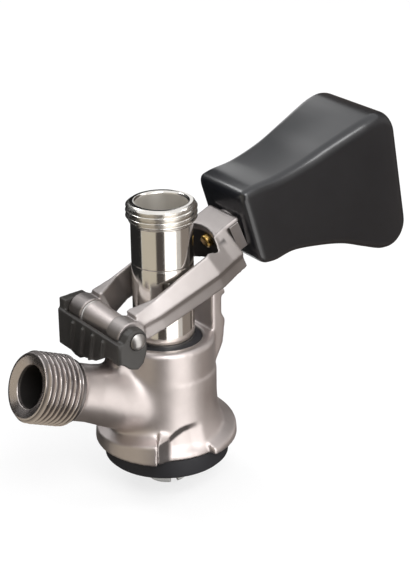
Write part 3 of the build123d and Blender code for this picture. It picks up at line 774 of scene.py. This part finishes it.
# ---- sub-assemblies -----------------------------------------------------------------------
@dataclass
class Probe:
    """The polished probe tube with its outlet thread."""

    top: float = 88.75
    end: float = -1.5
    tube: float = 10.0
    bore: float = 8.27
    bore_bottom: float = 67.5
    inner: float = 6.2
    shank: float = 9.2
    shank_top: float = 20.0
    spigot: float = 7.8
    shoulder: float = 4.5
    thread_length: float = 7.1
    line: float = 68.25
    line_depth: float = 0.25
    flat: float = 8.2
    flat_middle: float = 61.71
    flat_half: float = 2.75
    thread: Thread = field(default_factory=Thread)

    def build(self, dresser: Dresser) -> None:
        """Makes the tube: its outline turned round Z, with the thread and flats worked in.

        Args:
            dresser: gives the tube its finish.
        """
        low = self.top - self.thread_length
        chamfer = self.thread.crest - self.thread.depth
        outline = rounded([
            (self.inner, self.end, 0.2), (self.spigot, self.end, 0.3),
            (self.spigot, self.shoulder, 0.2), (self.shank, self.shoulder, 0.3),
            (self.shank, self.shank_top, 0.4), (self.tube, self.shank_top + 0.8, 0.4),
            (self.tube, self.line - 0.4, 0.1), (self.tube - self.line_depth, self.line, 0.15),
            (self.tube, self.line + 0.4, 0.1), (self.tube, low, 0.3),
        ], 4)
        heights = np.linspace(low, self.top - 0.25, 72)
        wall = upright(self.thread.crest, heights)
        steps = np.array([-1.0, -0.99, -0.5, 0.0, 0.5, 0.99, 1.0])
        flats = self.flat_middle + self.flat_half * steps
        side = upright(self.tube, flats)
        rim = rounded([
            (self.tube, self.top, 0.0), (chamfer - 0.35, self.top, 0.3),
            (self.bore + 0.55, self.top, 0.25), (self.bore, self.top - 0.6, 0.3),
            (self.bore, self.bore_bottom, 0.5), (self.inner, self.bore_bottom - 2.07, 0.5),
            (self.inner, BORE_FLOOR, 0.0), (self.tube, BORE_FLOOR, 0.0),
        ], 5)[5:-10]
        cut = len(outline) - 16
        rows = np.concatenate([outline[:cut], side, outline[cut:], wall, rim])
        start = len(outline) + len(side)
        span = slice(cut + 1, cut + len(side) - 1)
        self._tube(rows, span, slice(start, start + len(wall)), dresser)

    def _tube(self, rows: np.ndarray, flats: slice, threads: slice, dresser: Dresser) -> None:
        """Turns the rows, then sets the radius of the flat rows and of the thread rows.

        A flat's radius is the smaller of the tube's and flat / |sin a|. The thread's radius is
        its helical surface, never past the chamfer's cone at the top.

        Args:
            rows: the outline's points.
            flats: the rows in which the two flats are cut.
            threads: the rows that carry the thread.
            dresser: gives the tube its finish.
        """
        points = lathe(rows, TURN_STEPS)
        angle = round_angles(TURN_STEPS)[None, :]
        radius = np.hypot(points[..., 0], points[..., 1])
        limit = self.flat / np.maximum(np.abs(np.sin(angle)), 0.01)
        radius[flats] = np.minimum(radius[flats], limit)
        height = points[threads, :, 2]
        low = self.top - self.thread_length
        strength = eased(height, low + 0.5, low + 1.9)
        helix = self.thread.radius(angle, height, strength)
        foot = eased(height, low, low + 0.5)
        helix = self.tube + (helix - self.tube) * foot
        cone = self.thread.crest - self.thread.depth - 0.05 + (self.top - height)
        radius[threads] = np.minimum(helix, cone)
        points[..., 0] = radius * np.cos(angle)
        points[..., 1] = radius * np.sin(angle)
        faces = grid_faces(points.shape[0], points.shape[1], True)
        piece = put_mesh("probe_polished", points.reshape(-1, 3), faces, Shade.CREASED)
        place = corners_of(piece.data)
        around = np.hypot(place[:, 0], place[:, 1])
        root = 0.5 * eased(self.thread.crest - around, 0.2, self.thread.depth)
        root *= (place[:, 2] > low + 0.3) & (around > self.tube)
        inside = (around < self.bore + 0.1) & (place[:, 2] < self.top - 0.5)
        # Painted shade: the thread's roots and the bore are darkened in colour.
        mark(piece, PAINTED_SHADE, np.maximum(root, inside))
        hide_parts("probe_tube")
        dresser.dress(piece, "polished_steel", "probe")


@dataclass
class Inlet:
    """The gas inlet's threaded end, screw-cut on the casting's side arm."""

    face: tuple[float, float] = (-51.4, 38.7)
    rise: float = 22.0
    length: float = 15.5
    mouth: float = 9.7
    mouth_depth: float = 1.1
    bore: float = 6.9
    inside: float = 9.6
    rim: float = 10.3
    gap: float = 1.0
    arm_end: float = 60.0
    thread: Thread = field(default_factory=Thread)

    def place(self) -> Place:
        """The inlet's own frame: Z runs from the face into the casting, Y across."""
        c, s = math.cos(math.radians(self.rise)), math.sin(math.radians(self.rise))
        axes = ((s, 0.0, c), (0.0, 1.0, 0.0), (c, 0.0, -s))
        return Place((self.face[0], 0.0, self.face[1]), axes)

    def clear(self, points: np.ndarray) -> np.ndarray:
        """Draws the casting's skin in under the screw-cut sleeve, so that the sleeve shows there.

        Args:
            points: the skin's corners.

        Returns:
            The moved corners.
        """
        place = self.place()
        local = place.local(points)
        radius = np.hypot(local[:, 0], local[:, 1])
        inside = (local[:, 2] < self.length - 0.3) & (radius < self.thread.crest + 2.0)
        wall = inside & (radius > self.inside)
        factor = np.where(wall, self.inside / np.maximum(radius, 0.1), 1.0)
        local[:, :2] *= factor[:, None]
        near = inside & (local[:, 2] < self.gap)
        local[:, 2] = np.where(near, self.gap, local[:, 2])
        return place.put(local)

    def build(self, dresser: Dresser) -> None:
        """Makes the sleeve: face, countersunk mouth and bore, with the helical thread outside.

        Args:
            dresser: gives the sleeve its finish.
        """
        heights = np.linspace(0.3, self.length, 112)
        wall = upright(self.thread.crest, heights)
        ends = rounded([
            (9.0, self.length, 0.0), (self.inside - 0.5, self.length + 0.6, 0.1),
            (self.bore, self.length, 0.1),
            (self.bore, self.mouth_depth, 0.4), (self.mouth, 0.0, 0.2),
            (self.rim, 0.0, 0.2), (11.0, 0.5, 0.0),
        ], 5)[5:-5]
        rows = np.concatenate([wall, ends])
        points = lathe(rows, TURN_STEPS)
        angle = round_angles(TURN_STEPS)[None, :]
        height = points[: len(wall), :, 2]
        strength = 1.0 - eased(height, self.length - 2.2, self.length - 0.7)
        helix = self.thread.radius(angle, height, strength)
        cone = self.thread.crest - self.thread.depth - 0.1 + height
        radius = np.minimum(helix, cone)
        points[: len(wall), :, 0] = radius * np.cos(angle)
        points[: len(wall), :, 1] = radius * np.sin(angle)
        faces = grid_faces(points.shape[0], points.shape[1], True)
        placed = self.place().put(points)
        piece = put_mesh("inlet_screw_thread", placed, faces, Shade.CREASED)
        corners = corners_of(piece.data)
        # Painted shade in the bore and between the thread's crests.
        mark(piece, PAINTED_SHADE, self.depth(corners))
        mark(piece, POLISH, np.ones(len(corners)))
        dresser.dress(piece, "satin_casting", "body")

    def depth(self, points: np.ndarray) -> np.ndarray:
        """How deep each point lies in the bore or between the thread's crests, used as a share of
        painted shade.

        Args:
            points: places in millimetres.

        Returns:
            A share from 0 to 1 for each.
        """
        local = self.place().local(points)
        radius = np.hypot(local[:, 0], local[:, 1])
        along = local[:, 2]
        threaded = (along > 0.4) & (along < self.length + 0.2) & (radius > self.inside)
        root = 0.75 * eased(self.thread.crest - radius, 0.15, self.thread.depth) * threaded
        inside = eased(along, 0.8, 2.5) * (radius < self.bore + 0.8) * (along < self.arm_end)
        return np.maximum(root, inside)


@dataclass
class Casting:
    """The cast body: softened edges, a blended inlet arm, and the lugs' entry slots."""

    inlet: Inlet = field(default_factory=Inlet)
    barrel: float = 16.9
    arm_radius: tuple[tuple[float, float], ...] = ((15.5, 9.3), (23.5, 9.3), (40.0, 11.6))
    fillet: tuple[float, float] = (3.0, 8.0)
    lug_radius: float = 23.25
    lug_end: float = -131.0
    lug_top: float = 13.475
    lug_slope: float = 0.45
    flank: float = 13.0
    flank_power: float = 1.7
    slot_ease: float = 3.0
    slot_start: float = 4.0
    slot_close: tuple[float, float] = (34.0, 50.0)
    shade_close: tuple[float, float] = (30.0, 46.0)
    shade_top: float = 18.5
    shade_share: float = 0.85
    slot_foot: float = 7.7
    slot_depth: float = 1.35
    slot_floor: tuple[tuple[float, float], ...] = (
        (0.0, 11.0), (13.0, 12.3), (17.0, 13.2), (21.0, 13.9), (27.0, 14.8), (39.0, 15.4),
        (50.0, 15.5))
    slot_roof: tuple[tuple[float, float], ...] = (
        (0.0, 13.4), (11.0, 14.6), (16.6, 16.1), (22.0, 17.0), (28.0, 17.5), (50.0, 18.0))
    hinge: tuple[float, float] = HINGE
    hinge_half: float = 7.3
    hinge_taper: float = 1.3

    def root(self, points: np.ndarray) -> np.ndarray:
        """Share of blending round the line where the inlet arm meets the barrel.

        The distance from that line is taken as the hypotenuse of the distances from the arm's
        surface and from the barrel's, and the share eases from 1 near it to 0 further out.

        Args:
            points: the skin's corners.

        Returns:
            A share from 0 to 1 for each.
        """
        local = self.inlet.place().local(points)
        place, radius = np.array(self.arm_radius).T
        from_arm = np.hypot(local[:, 0], local[:, 1]) - np.interp(local[:, 2], place, radius)
        from_barrel = np.hypot(points[:, 0], points[:, 1]) - self.barrel
        share = 1.0 - eased(np.hypot(from_arm, from_barrel), *self.fillet)
        return share * (points[:, 0] < 0.0) * (local[:, 2] > self.inlet.length + 2.0)

    def past_lug(self, points: np.ndarray) -> tuple[np.ndarray, np.ndarray, np.ndarray]:
        """Where each point lies past a lug's end.

        Args:
            points: the skin's corners.

        Returns:
            The angle past the end in degrees, and the slot's floor and roof heights there.
        """
        angle = np.degrees(np.arctan2(points[:, 1], points[:, 0]))
        past = np.mod(angle - self.lug_end, 180.0)
        floor = np.interp(past, *np.array(self.slot_floor).T)
        return past, floor, np.interp(past, *np.array(self.slot_roof).T)

    def slots(self, points: np.ndarray) -> np.ndarray:
        """Cuts the entry slot beside each lug's end, and slopes the lug's end into it.

        With f the angle past a lug's end, the flare's radius becomes less by the slot's depth
        below its roof line, easing to nothing at the foot and at the next lug. Up to the flank's
        angle F the radius is raised towards the lug's own by (1 - f/F)^1.7.

        Args:
            points: the skin's corners.

        Returns:
            The moved corners.
        """
        past, floor, roof = self.past_lug(points)
        radius = np.hypot(points[:, 0], points[:, 1])
        height = points[:, 2]
        outer = radius > self.barrel - 0.6
        cut = eased(past, self.slot_start, self.flank) * (1.0 - eased(past, *self.slot_close))
        opening = eased(height, self.slot_foot, self.slot_foot + self.slot_ease)
        cut *= (1.0 - eased(height, floor, roof)) * opening
        ramp = self.lug_radius - (height - self.lug_top) / self.lug_slope
        lug = np.minimum(self.lug_radius, ramp)
        share = np.clip(1.0 - past / self.flank, 0.0, 1.0) ** self.flank_power
        rise = np.maximum(lug - radius, 0.0) * share * (height < 17.0)
        changed = radius + outer * (rise - self.slot_depth * cut)
        factor = (changed / np.maximum(radius, 1.0))[:, None]
        return np.concatenate([points[:, :2] * factor, points[:, 2:]], axis=1)

    def shade(self, points: np.ndarray) -> np.ndarray:
        """Share of painted shade on the slot's steep wall and on the lug's sloped end.

        Args:
            points: the skin's corners.

        Returns:
            A share from 0 to 1 for each.
        """
        past, floor, roof = self.past_lug(points)
        height = points[:, 2]
        wall = eased(height, floor - 0.4, floor + 0.4)
        wall = wall * (1.0 - eased(height, roof - 0.6, roof + 0.2))
        wall *= eased(past, 7.0, 12.0) * (1.0 - eased(past, *self.shade_close))
        end = eased(past, 0.2, 1.6) * (1.0 - eased(past, 8.0, self.flank))
        end = end * (height < self.lug_top)
        outer = np.hypot(points[:, 0], points[:, 1]) > self.barrel - 1.6
        return self.shade_share * np.maximum(wall, end) * outer * (height < self.shade_top)

    def taper(self, points: np.ndarray) -> np.ndarray:
        """Thins the hinge barrel towards its front end, on its upper left side.

        Args:
            points: the skin's corners.

        Returns:
            The moved corners.
        """
        across = points[:, 0] - self.hinge[0]
        above = points[:, 2] - self.hinge[1]
        distance = np.maximum(np.hypot(across, above), 0.1)
        side = eased((0.8 * above - 0.6 * across) / distance, -0.3, 0.4)
        near = eased(distance, 2.4, 3.6) * (1.0 - eased(distance, 5.2, 6.0))
        along = np.clip((self.hinge_half - points[:, 1]) / (2.0 * self.hinge_half), 0.0, 1.0)
        within = np.abs(points[:, 1]) < self.hinge_half + 0.5
        inward = self.hinge_taper * side * near * along * within
        moved = points.copy()
        moved[:, 0] -= inward * across / distance
        moved[:, 2] -= inward * above / distance
        return moved

    def shape(self, points: np.ndarray) -> np.ndarray:
        """All the casting's own forms, then room for the screw-cut sleeve."""
        return self.inlet.clear(self.taper(self.slots(points)))

    def build(self, dresser: Dresser) -> None:
        """Makes the softened casting and the threaded sleeve.

        Args:
            dresser: gives both their finish.
        """
        copy = SoftCopy("body_casting", "body_cast_skin", 0.42, 10, self.shape, self.root)
        piece = copy.build()
        corners = corners_of(piece.data)
        # Painted shade in the inlet's bore and threads, on the slots' walls and on the lugs' ends.
        mark(piece, PAINTED_SHADE, np.maximum(self.inlet.depth(corners), self.shade(corners)))
        dresser.dress(piece, "satin_casting", "body")
        self.inlet.build(dresser)


@dataclass
class Clip:
    """The moulded clip over the hinge, its web cut away under the front end."""

    web: float = -27.2
    plates: float = -28.2
    half: float = 14.9
    plate_low: float = 46.2
    lower_edge: tuple[tuple[float, float], ...] = (
        (-18.0, 47.8), (-10.4, 46.2), (-4.8, 42.9), (3.1, 41.3), (8.0, 40.6))

    def shape(self, points: np.ndarray) -> np.ndarray:
        """Lifts the web's lower edge more and more towards the front, by a line of steps.

        Args:
            points: the clip's corners.

        Returns:
            The moved corners.
        """
        low = np.interp(points[:, 1], *np.array(self.lower_edge).T)
        within = (points[:, 0] < self.web) & (np.abs(points[:, 1]) < self.half)
        within |= points[:, 0] < self.plates
        front = (points[:, 0] < self.web) & (points[:, 1] < -self.half)
        low = np.where(front, self.plate_low, low)
        within |= front
        moved = points.copy()
        moved[:, 2] = np.where(within, np.maximum(points[:, 2], low), points[:, 2])
        return moved

    def build(self, dresser: Dresser) -> None:
        """Makes the softened clip."""
        copy = SoftCopy("hinge_clip", "hinge_clip_moulded", 0.3, 8, self.shape)
        dresser.dress(copy.build(), "clip_plastic", "body")


def lever_place() -> Place:
    """The lever's frame when it is up: X along the lever, Z square to it."""
    c, s = math.cos(LEVER_TILT), math.sin(LEVER_TILT)
    return Place((HINGE[0], 0.0, HINGE[1]), ((c, 0.0, s), (0.0, 1.0, 0.0), (-s, 0.0, c)))


@dataclass
class Lever:
    """The cast lever fork, with the lip that covers the carrier's top.

    The slot's four ranges say where the painted shade inside it begins and ends along the lever,
    across it and upwards.
    """

    lip_start: float = 45.0
    lip_end: float = 52.9
    lip_low: float = 5.15
    lip_top: float = 6.5
    lip_low_half: float = 8.1
    lip_top_half: float = 7.4
    slot_in: tuple[float, float] = (37.0, 40.5)
    slot_out: tuple[float, float] = (44.6, 45.2)
    slot_side: tuple[float, float] = (9.0, 10.5)
    slot_top: tuple[float, float] = (3.6, 4.6)

    def build(self, dresser: Dresser) -> None:
        """Makes the softened fork.

        Args:
            dresser: gives the fork its finish.
        """
        rings = [(self.lip_low, self.lip_low_half), (self.lip_top, self.lip_top_half)]
        corners = [(x, y, z) for z, half in rings
                   for x, y in ((self.lip_start, -half), (self.lip_end, -half),
                                (self.lip_end, half), (self.lip_start, half))]
        block = lever_place().put(np.array(corners))
        copy = SoftCopy("lever_fork", "fork_cast_skin", 0.36, 8, block=block)
        piece = copy.build()
        local = lever_place().local(corners_of(piece.data))
        slot_shade = eased(local[:, 0], *self.slot_in) * (1.0 - eased(local[:, 0], *self.slot_out))
        side = 1.0 - eased(np.abs(local[:, 1]), *self.slot_side)
        slot_shade *= side * (1.0 - eased(local[:, 2], *self.slot_top))
        # Painted shade inside the slot round the plunger.
        mark(piece, PAINTED_SHADE, slot_shade)
        dresser.dress(piece, "lever_casting", "lever")


@dataclass
class Plunger:
    """The brass latch plunger, turned, in the lever's frame."""

    height: float = 1.0
    tip: float = 42.0
    radius: float = 2.25
    collar: float = 2.8
    collar_start: float = 49.5
    end: float = 52.0
    pole: float = 0.02
    segments: int = 64

    def build(self, dresser: Dresser) -> None:
        """Turns the plunger's outline round its own axis and lays it along the lever.

        Args:
            dresser: gives the plunger its finish.
        """
        outline = rounded([
            (self.pole, self.tip, 0.0), (self.radius - 0.5, self.tip, 0.15),
            (self.radius, self.tip + 0.5, 0.25), (self.radius, self.collar_start, 0.1),
            (self.collar, self.collar_start, 0.2), (self.collar, self.end, 0.2),
            (self.pole, self.end, 0.0),
        ], 4)
        points = lathe(outline, self.segments)[..., [2, 1, 0]]
        points[..., 2] += self.height
        faces = grid_faces(points.shape[0], points.shape[1], True)
        piece = put_mesh("plunger_turned", lever_place().put(points), faces, Shade.CREASED)
        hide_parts("latch_plunger")
        dresser.dress(piece, "brass", "handle")


@dataclass
class Grip:
    """The moulded grip, in the lever's own frame.

    Each station is a section's back and belly as (along, above) pairs, its half width and the
    radius of its corners.
    """

    roll: float = 2.6
    crease: float = math.radians(50.0)
    stations: tuple[tuple[float, ...], ...] = (
        (54.6, 15.4, 51.8, -11.4, 12.6, 2.4),
        (60.0, 14.9, 57.4, -14.2, 12.8, 2.8),
        (68.5, 12.7, 65.0, -15.8, 13.2, 3.2),
        (80.0, 11.4, 74.5, -20.6, 14.0, 3.4),
        (91.0, 11.4, 82.5, -25.6, 15.2, 3.6),
        (99.5, 11.4, 89.0, -31.4, 16.4, 3.8),
        (105.5, 11.2, 94.5, -36.1, 17.2, 4.0),
        (110.6, 10.2, 99.6, -37.4, 17.4, 4.2),
        (114.0, 7.4, 104.2, -35.0, 17.0, 4.6),
        (115.8, 2.4, 107.8, -29.2, 14.6, 4.6),
    )

    def _sections(self, count: int) -> np.ndarray:
        """Sections between the stations, by a cubic that passes through each: Catmull and Rom's.

        Args:
            count: how many sections.

        Returns:
            The sections, one row each, laid out as the stations are.
        """
        data = np.array(self.stations)
        padded = np.concatenate([2 * data[:1] - data[1:2], data, 2 * data[-1:] - data[-2:-1]])
        at = np.linspace(0.0, len(data) - 1.0, count)
        left = np.minimum(at.astype(int), len(data) - 2)
        t = (at - left)[:, None]
        p0, p1, p2, p3 = padded[left], padded[left + 1], padded[left + 2], padded[left + 3]
        return 0.5 * (2 * p1 + (p2 - p0) * t + (2 * p0 - 5 * p1 + 4 * p2 - p3) * t**2
                      + (3 * p1 - p0 - 3 * p2 + p3) * t**3)

    def build(self, dresser: Dresser) -> None:
        """Makes the grip: rounded-rectangle sections carried from the neck to the heel.

        Near both ends each section is drawn in by r (1 - sqrt(1 - d^2)), with r the roll's radius
        and d the share of it still to go, so both end faces meet the sides in a round edge.

        Args:
            dresser: gives the grip its finish.
        """
        data = self._sections(GRIP_ROWS)
        back, belly = data[:, 0:2], data[:, 2:4]
        middle, half_height = (back + belly) / 2, np.linalg.norm(back - belly, axis=1)[:, None] / 2
        up = (back - belly) / (2 * half_height)
        step = np.linalg.norm(np.diff(middle, axis=0, prepend=middle[:1]), axis=1)
        travelled = np.cumsum(step)
        left = np.minimum(travelled, travelled[-1] - travelled)
        depth = np.clip(1.0 - left / self.roll, 0.0, 1.0)
        inset = self.roll * (1.0 - np.sqrt(1.0 - depth**2))[:, None]
        half_width, corner = data[:, 4:5] - inset, data[:, 5:6]
        half_height = half_height - inset
        turn = np.linspace(0.0, np.pi / 2, CORNER_STEPS)
        quarter = np.stack([np.cos(turn), np.sin(turn)], axis=-1)
        signs = np.array([(1, 1), (-1, 1), (-1, -1), (1, -1)])
        swap = np.array([quarter, quarter[::-1], quarter, quarter[::-1]])
        ring = (signs[:, None] * swap).reshape(-1, 2)
        sign = np.repeat(signs, CORNER_STEPS, axis=0)
        across = sign[None, :, 0] * (half_width - corner) + ring[None, :, 0] * corner
        along = sign[None, :, 1] * (half_height - corner) + ring[None, :, 1] * corner
        points = np.stack([
            middle[:, :1] + up[:, :1] * along,
            across,
            middle[:, 1:] + up[:, 1:] * along,
        ], axis=-1)
        ends = [np.repeat(points[k].mean(axis=0)[None, None], points.shape[1], axis=1)
                for k in (0, -1)]
        points = np.concatenate([ends[0], points, ends[1]])
        faces = grid_faces(points.shape[0], points.shape[1], False)
        piece = put_mesh("grip_moulded", lever_place().put(points), faces, Shade.SMOOTH)
        piece.data.set_sharp_from_angle(angle=self.crease)
        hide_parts("grip")
        dresser.dress(piece, "grip_plastic", "handle")


NODE_FINISHES = {
    "keg_seal": "black_rubber",
    "neck_lip_seal": "black_rubber",
    "neck_bush": "white_plastic",
    "neck_wiper": "black_rubber",
    "gas_check_valve": "black_rubber",
    "gas_valve_retainer": "white_plastic",
    "hinge_pin": "bright_steel",
    "hinge_washer_front": "white_plastic",
    "hinge_washer_rear": "white_plastic",
    "probe_seal": "black_rubber",
    "probe_tip": "white_plastic",
    "ball_cage": "white_plastic",
    "check_ball": "bright_steel",
    "fork_stud_front": "bright_steel",
    "fork_stud_rear": "bright_steel",
    "latch_spring": "spring_steel",
    "spring_gland": "bright_steel",
    "pull_rod": "bright_steel",
    "grip_carrier": "lever_casting",
    "rod_insert": "brass",
}


# ---- studio -------------------------------------------------------------------------------
CARDS = [
    ("card_dark_left", -180.0, -77.0, (0.02, 0.02, 0.02)),
    ("card_beige", -76.0, -20.0, (0.54, 0.49, 0.405)),
    ("card_dark_middle", -20.0, 10.0, (0.07, 0.06, 0.055)),
    ("card_white", 10.0, 52.0, (1.8, 1.76, 1.72)),
    ("card_grey", 52.0, 70.0, (0.62, 0.59, 0.56)),
    ("card_brown_right", 70.0, 112.0, (0.25, 0.215, 0.19)),
    ("card_brown_far", 112.0, 165.0, (0.1, 0.085, 0.075)),
]


LAMPS = [
    ("key_lamp", (-0.25, -0.75, 0.85), (0.6, 0.6), 7.0),
    ("side_lamp", (0.75, -0.35, 0.5), (0.5, 0.6), 4.0),
    ("back_lamp", (-0.2, 0.8, 0.7), (0.6, 0.5), 4.0),
]


@dataclass
class Studio:
    """The camera, the pale floor, the soft lamps and the reflector cards."""

    eye: tuple[float, float, float] = (-267.7, -407.6, 267.7)
    azimuth: float = -34.873
    elevation: float = 23.192
    roll: float = -0.717
    focal: float = 1652.0
    floor_level: float = -9.0
    floor_side: float = 4000.0
    floor_glow: float = 0.72
    aim: tuple[float, float, float] = (0.02, 0.0, 0.04)
    plain: tuple[float, ...] = (0.62, 0.62, 0.63, 1.0)
    white: tuple[float, ...] = (0.98, 0.98, 0.98, 1.0)
    # A dark disc round the object's foot, seen only in reflections: painted shadow for the floor,
    # whose glow keeps no shadow there.
    floor_shadow_colour: tuple[float, ...] = (0.09, 0.08, 0.075)
    floor_shadow_disc: tuple[tuple[float, float], ...] = ((1.0, -8.6), (45.0, -8.5))
    bowl: tuple[tuple[float, float], ...] = (
        (45.0, -8.5), (75.0, 15.0), (130.0, 60.0), (190.0, 250.0))

    def camera(self) -> None:
        """Makes the camera from the direction it looks back along, and its small roll."""
        a, e, r = (math.radians(v) for v in (self.azimuth, self.elevation, self.roll))
        back = Vector((math.sin(a) * math.cos(e), -math.cos(a) * math.cos(e), math.sin(e)))
        level = Vector((0.0, 0.0, 1.0)).cross(back).normalized()
        rise = back.cross(level)
        right = math.cos(r) * level + math.sin(r) * rise
        up = -math.sin(r) * level + math.cos(r) * rise
        data = bpy.data.cameras.new("camera")
        data.sensor_width = 36.0
        data.lens = self.focal / PICTURE_HEIGHT * data.sensor_width
        data.clip_start, data.clip_end = 0.01, 20.0
        camera = bpy.data.objects.new("camera", data)
        turn = Matrix((right, up, back)).transposed().to_4x4()
        camera.matrix_world = Matrix.Translation(Vector(self.eye) * MM) @ turn
        bpy.context.scene.collection.objects.link(camera)
        bpy.context.scene.camera = camera

    def floor(self) -> None:
        """Makes the pale floor, which shows white and keeps the object's soft shadow."""
        side = self.floor_side
        corners = np.array([(-side, -side), (side, -side), (side, side), (-side, side)])
        points = np.column_stack([corners, np.full(4, self.floor_level)])
        piece = put_mesh("floor", points, np.array([[0, 1, 2, 3]]), Shade.SMOOTH)
        material = bpy.data.materials.new("floor_pale")
        material.use_nodes = True
        nodes = Nodes(material.node_tree)
        shader = material.node_tree.nodes["Principled BSDF"]
        shader.inputs["Base Color"].default_value = (0.93, 0.93, 0.93, 1.0)
        shader.inputs["Roughness"].default_value = 0.9
        seen = nodes.shown()
        glow = nodes.add("ShaderNodeEmission", Strength=1.0)
        glow.inputs["Color"].default_value = (1.0, 1.0, 1.0, 1.0)
        mix = nodes.add("ShaderNodeMixShader")
        links = material.node_tree.links
        links.new(nodes.maths("MULTIPLY", seen, self.floor_glow), mix.inputs[0])
        links.new(shader.outputs[0], mix.inputs[1])
        links.new(glow.outputs[0], mix.inputs[2])
        links.new(mix.outputs[0], material.node_tree.nodes["Material Output"].inputs["Surface"])
        piece.data.materials.append(material)

    def world(self) -> None:
        """A white surround where it is seen or reflected, and a plain fill elsewhere."""
        world = bpy.data.worlds.new("world")
        world.use_nodes = True
        bpy.context.scene.world = world
        nodes = Nodes(world.node_tree)
        seen = nodes.shown()
        colour = nodes.blend(seen, self.plain, self.white)
        world.node_tree.links.new(colour, world.node_tree.nodes["Background"].inputs["Color"])

    def lamp(self, name: str, place: tuple[float, float, float], size: tuple[float, float],
             watts: float) -> None:
        """Makes one soft lamp that faces the object.

        Args:
            name: the lamp's name.
            place: its place in metres.
            size: its width and height in metres.
            watts: its power.
        """
        data = bpy.data.lights.new(name, "AREA")
        data.shape = "RECTANGLE"
        data.size, data.size_y = size
        data.energy = watts
        lamp = bpy.data.objects.new(name, data)
        lamp.location = place
        aim = Vector(self.aim) - Vector(place)
        lamp.rotation_mode = "QUATERNION"
        lamp.rotation_quaternion = aim.to_track_quat("-Z", "Y")
        bpy.context.scene.collection.objects.link(lamp)

    def card(self, name: str, start: float, end: float, colour: tuple[float, float, float],
             profile: tuple[tuple[float, float], ...]) -> None:
        """Makes one reflector card, a slice of a bowl round the object, that only reflections see.

        Args:
            name: the card's name.
            start: its first edge's bearing from the probe, in degrees from the camera's own.
            end: its last edge's bearing.
            colour: how bright it is in a reflection.
            profile: its outline from the bottom up, as (distance from the probe, height).
        """
        azimuth = math.radians(self.azimuth)
        toward = math.atan2(-math.cos(azimuth), math.sin(azimuth))
        bearing = toward + np.radians(np.linspace(start, end, CARD_STEPS))
        radius, height = np.array(profile).T[:, :, None]
        across, along = radius * np.cos(bearing), radius * np.sin(bearing)
        points = np.stack(np.broadcast_arrays(across, along, height), axis=-1)
        number = np.arange(points.shape[0] * CARD_STEPS).reshape(-1, CARD_STEPS)
        corners = [number[:-1, :-1], number[:-1, 1:], number[1:, 1:], number[1:, :-1]]
        faces = np.stack(corners, axis=-1).reshape(-1, 4)
        piece = put_mesh(name, points.reshape(-1, 3), faces, Shade.SMOOTH)
        material = bpy.data.materials.new(name)
        material.use_nodes = True
        tree = material.node_tree
        glow = Nodes(tree).add("ShaderNodeEmission", Strength=1.0)
        glow.inputs["Color"].default_value = colour + (1.0,)
        tree.links.new(glow.outputs[0], tree.nodes["Material Output"].inputs["Surface"])
        piece.data.materials.append(material)
        for kind in ("camera", "diffuse", "transmission", "volume_scatter", "shadow"):
            setattr(piece, f"visible_{kind}", False)

    def build(self) -> None:
        """Sets the whole studio up."""
        bpy.context.scene.view_settings.view_transform = "Standard"
        self.camera()
        self.floor()
        self.world()
        for lamp in LAMPS:
            self.lamp(*lamp)
        for name, start, end, colour in CARDS:
            self.card(name, start, end, colour, self.bowl)
        # Painted shadow: a dark disc under the object, seen only in reflections.
        self.card("card_floor_shadow", 0.0, 360.0, self.floor_shadow_colour, self.floor_shadow_disc)


def main() -> None:
    """Builds the studio and every piece."""
    logging.basicConfig(level=logging.INFO, format="%(name)s %(message)s")
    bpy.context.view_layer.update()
    Studio().build()
    dresser = Dresser()
    dresser.dress_nodes(NODE_FINISHES)
    for assembly in (Casting(), Clip(), Probe(), Lever(), Plunger(), Grip()):
        assembly.build(dresser)


if __name__ == "__main__":
    main()
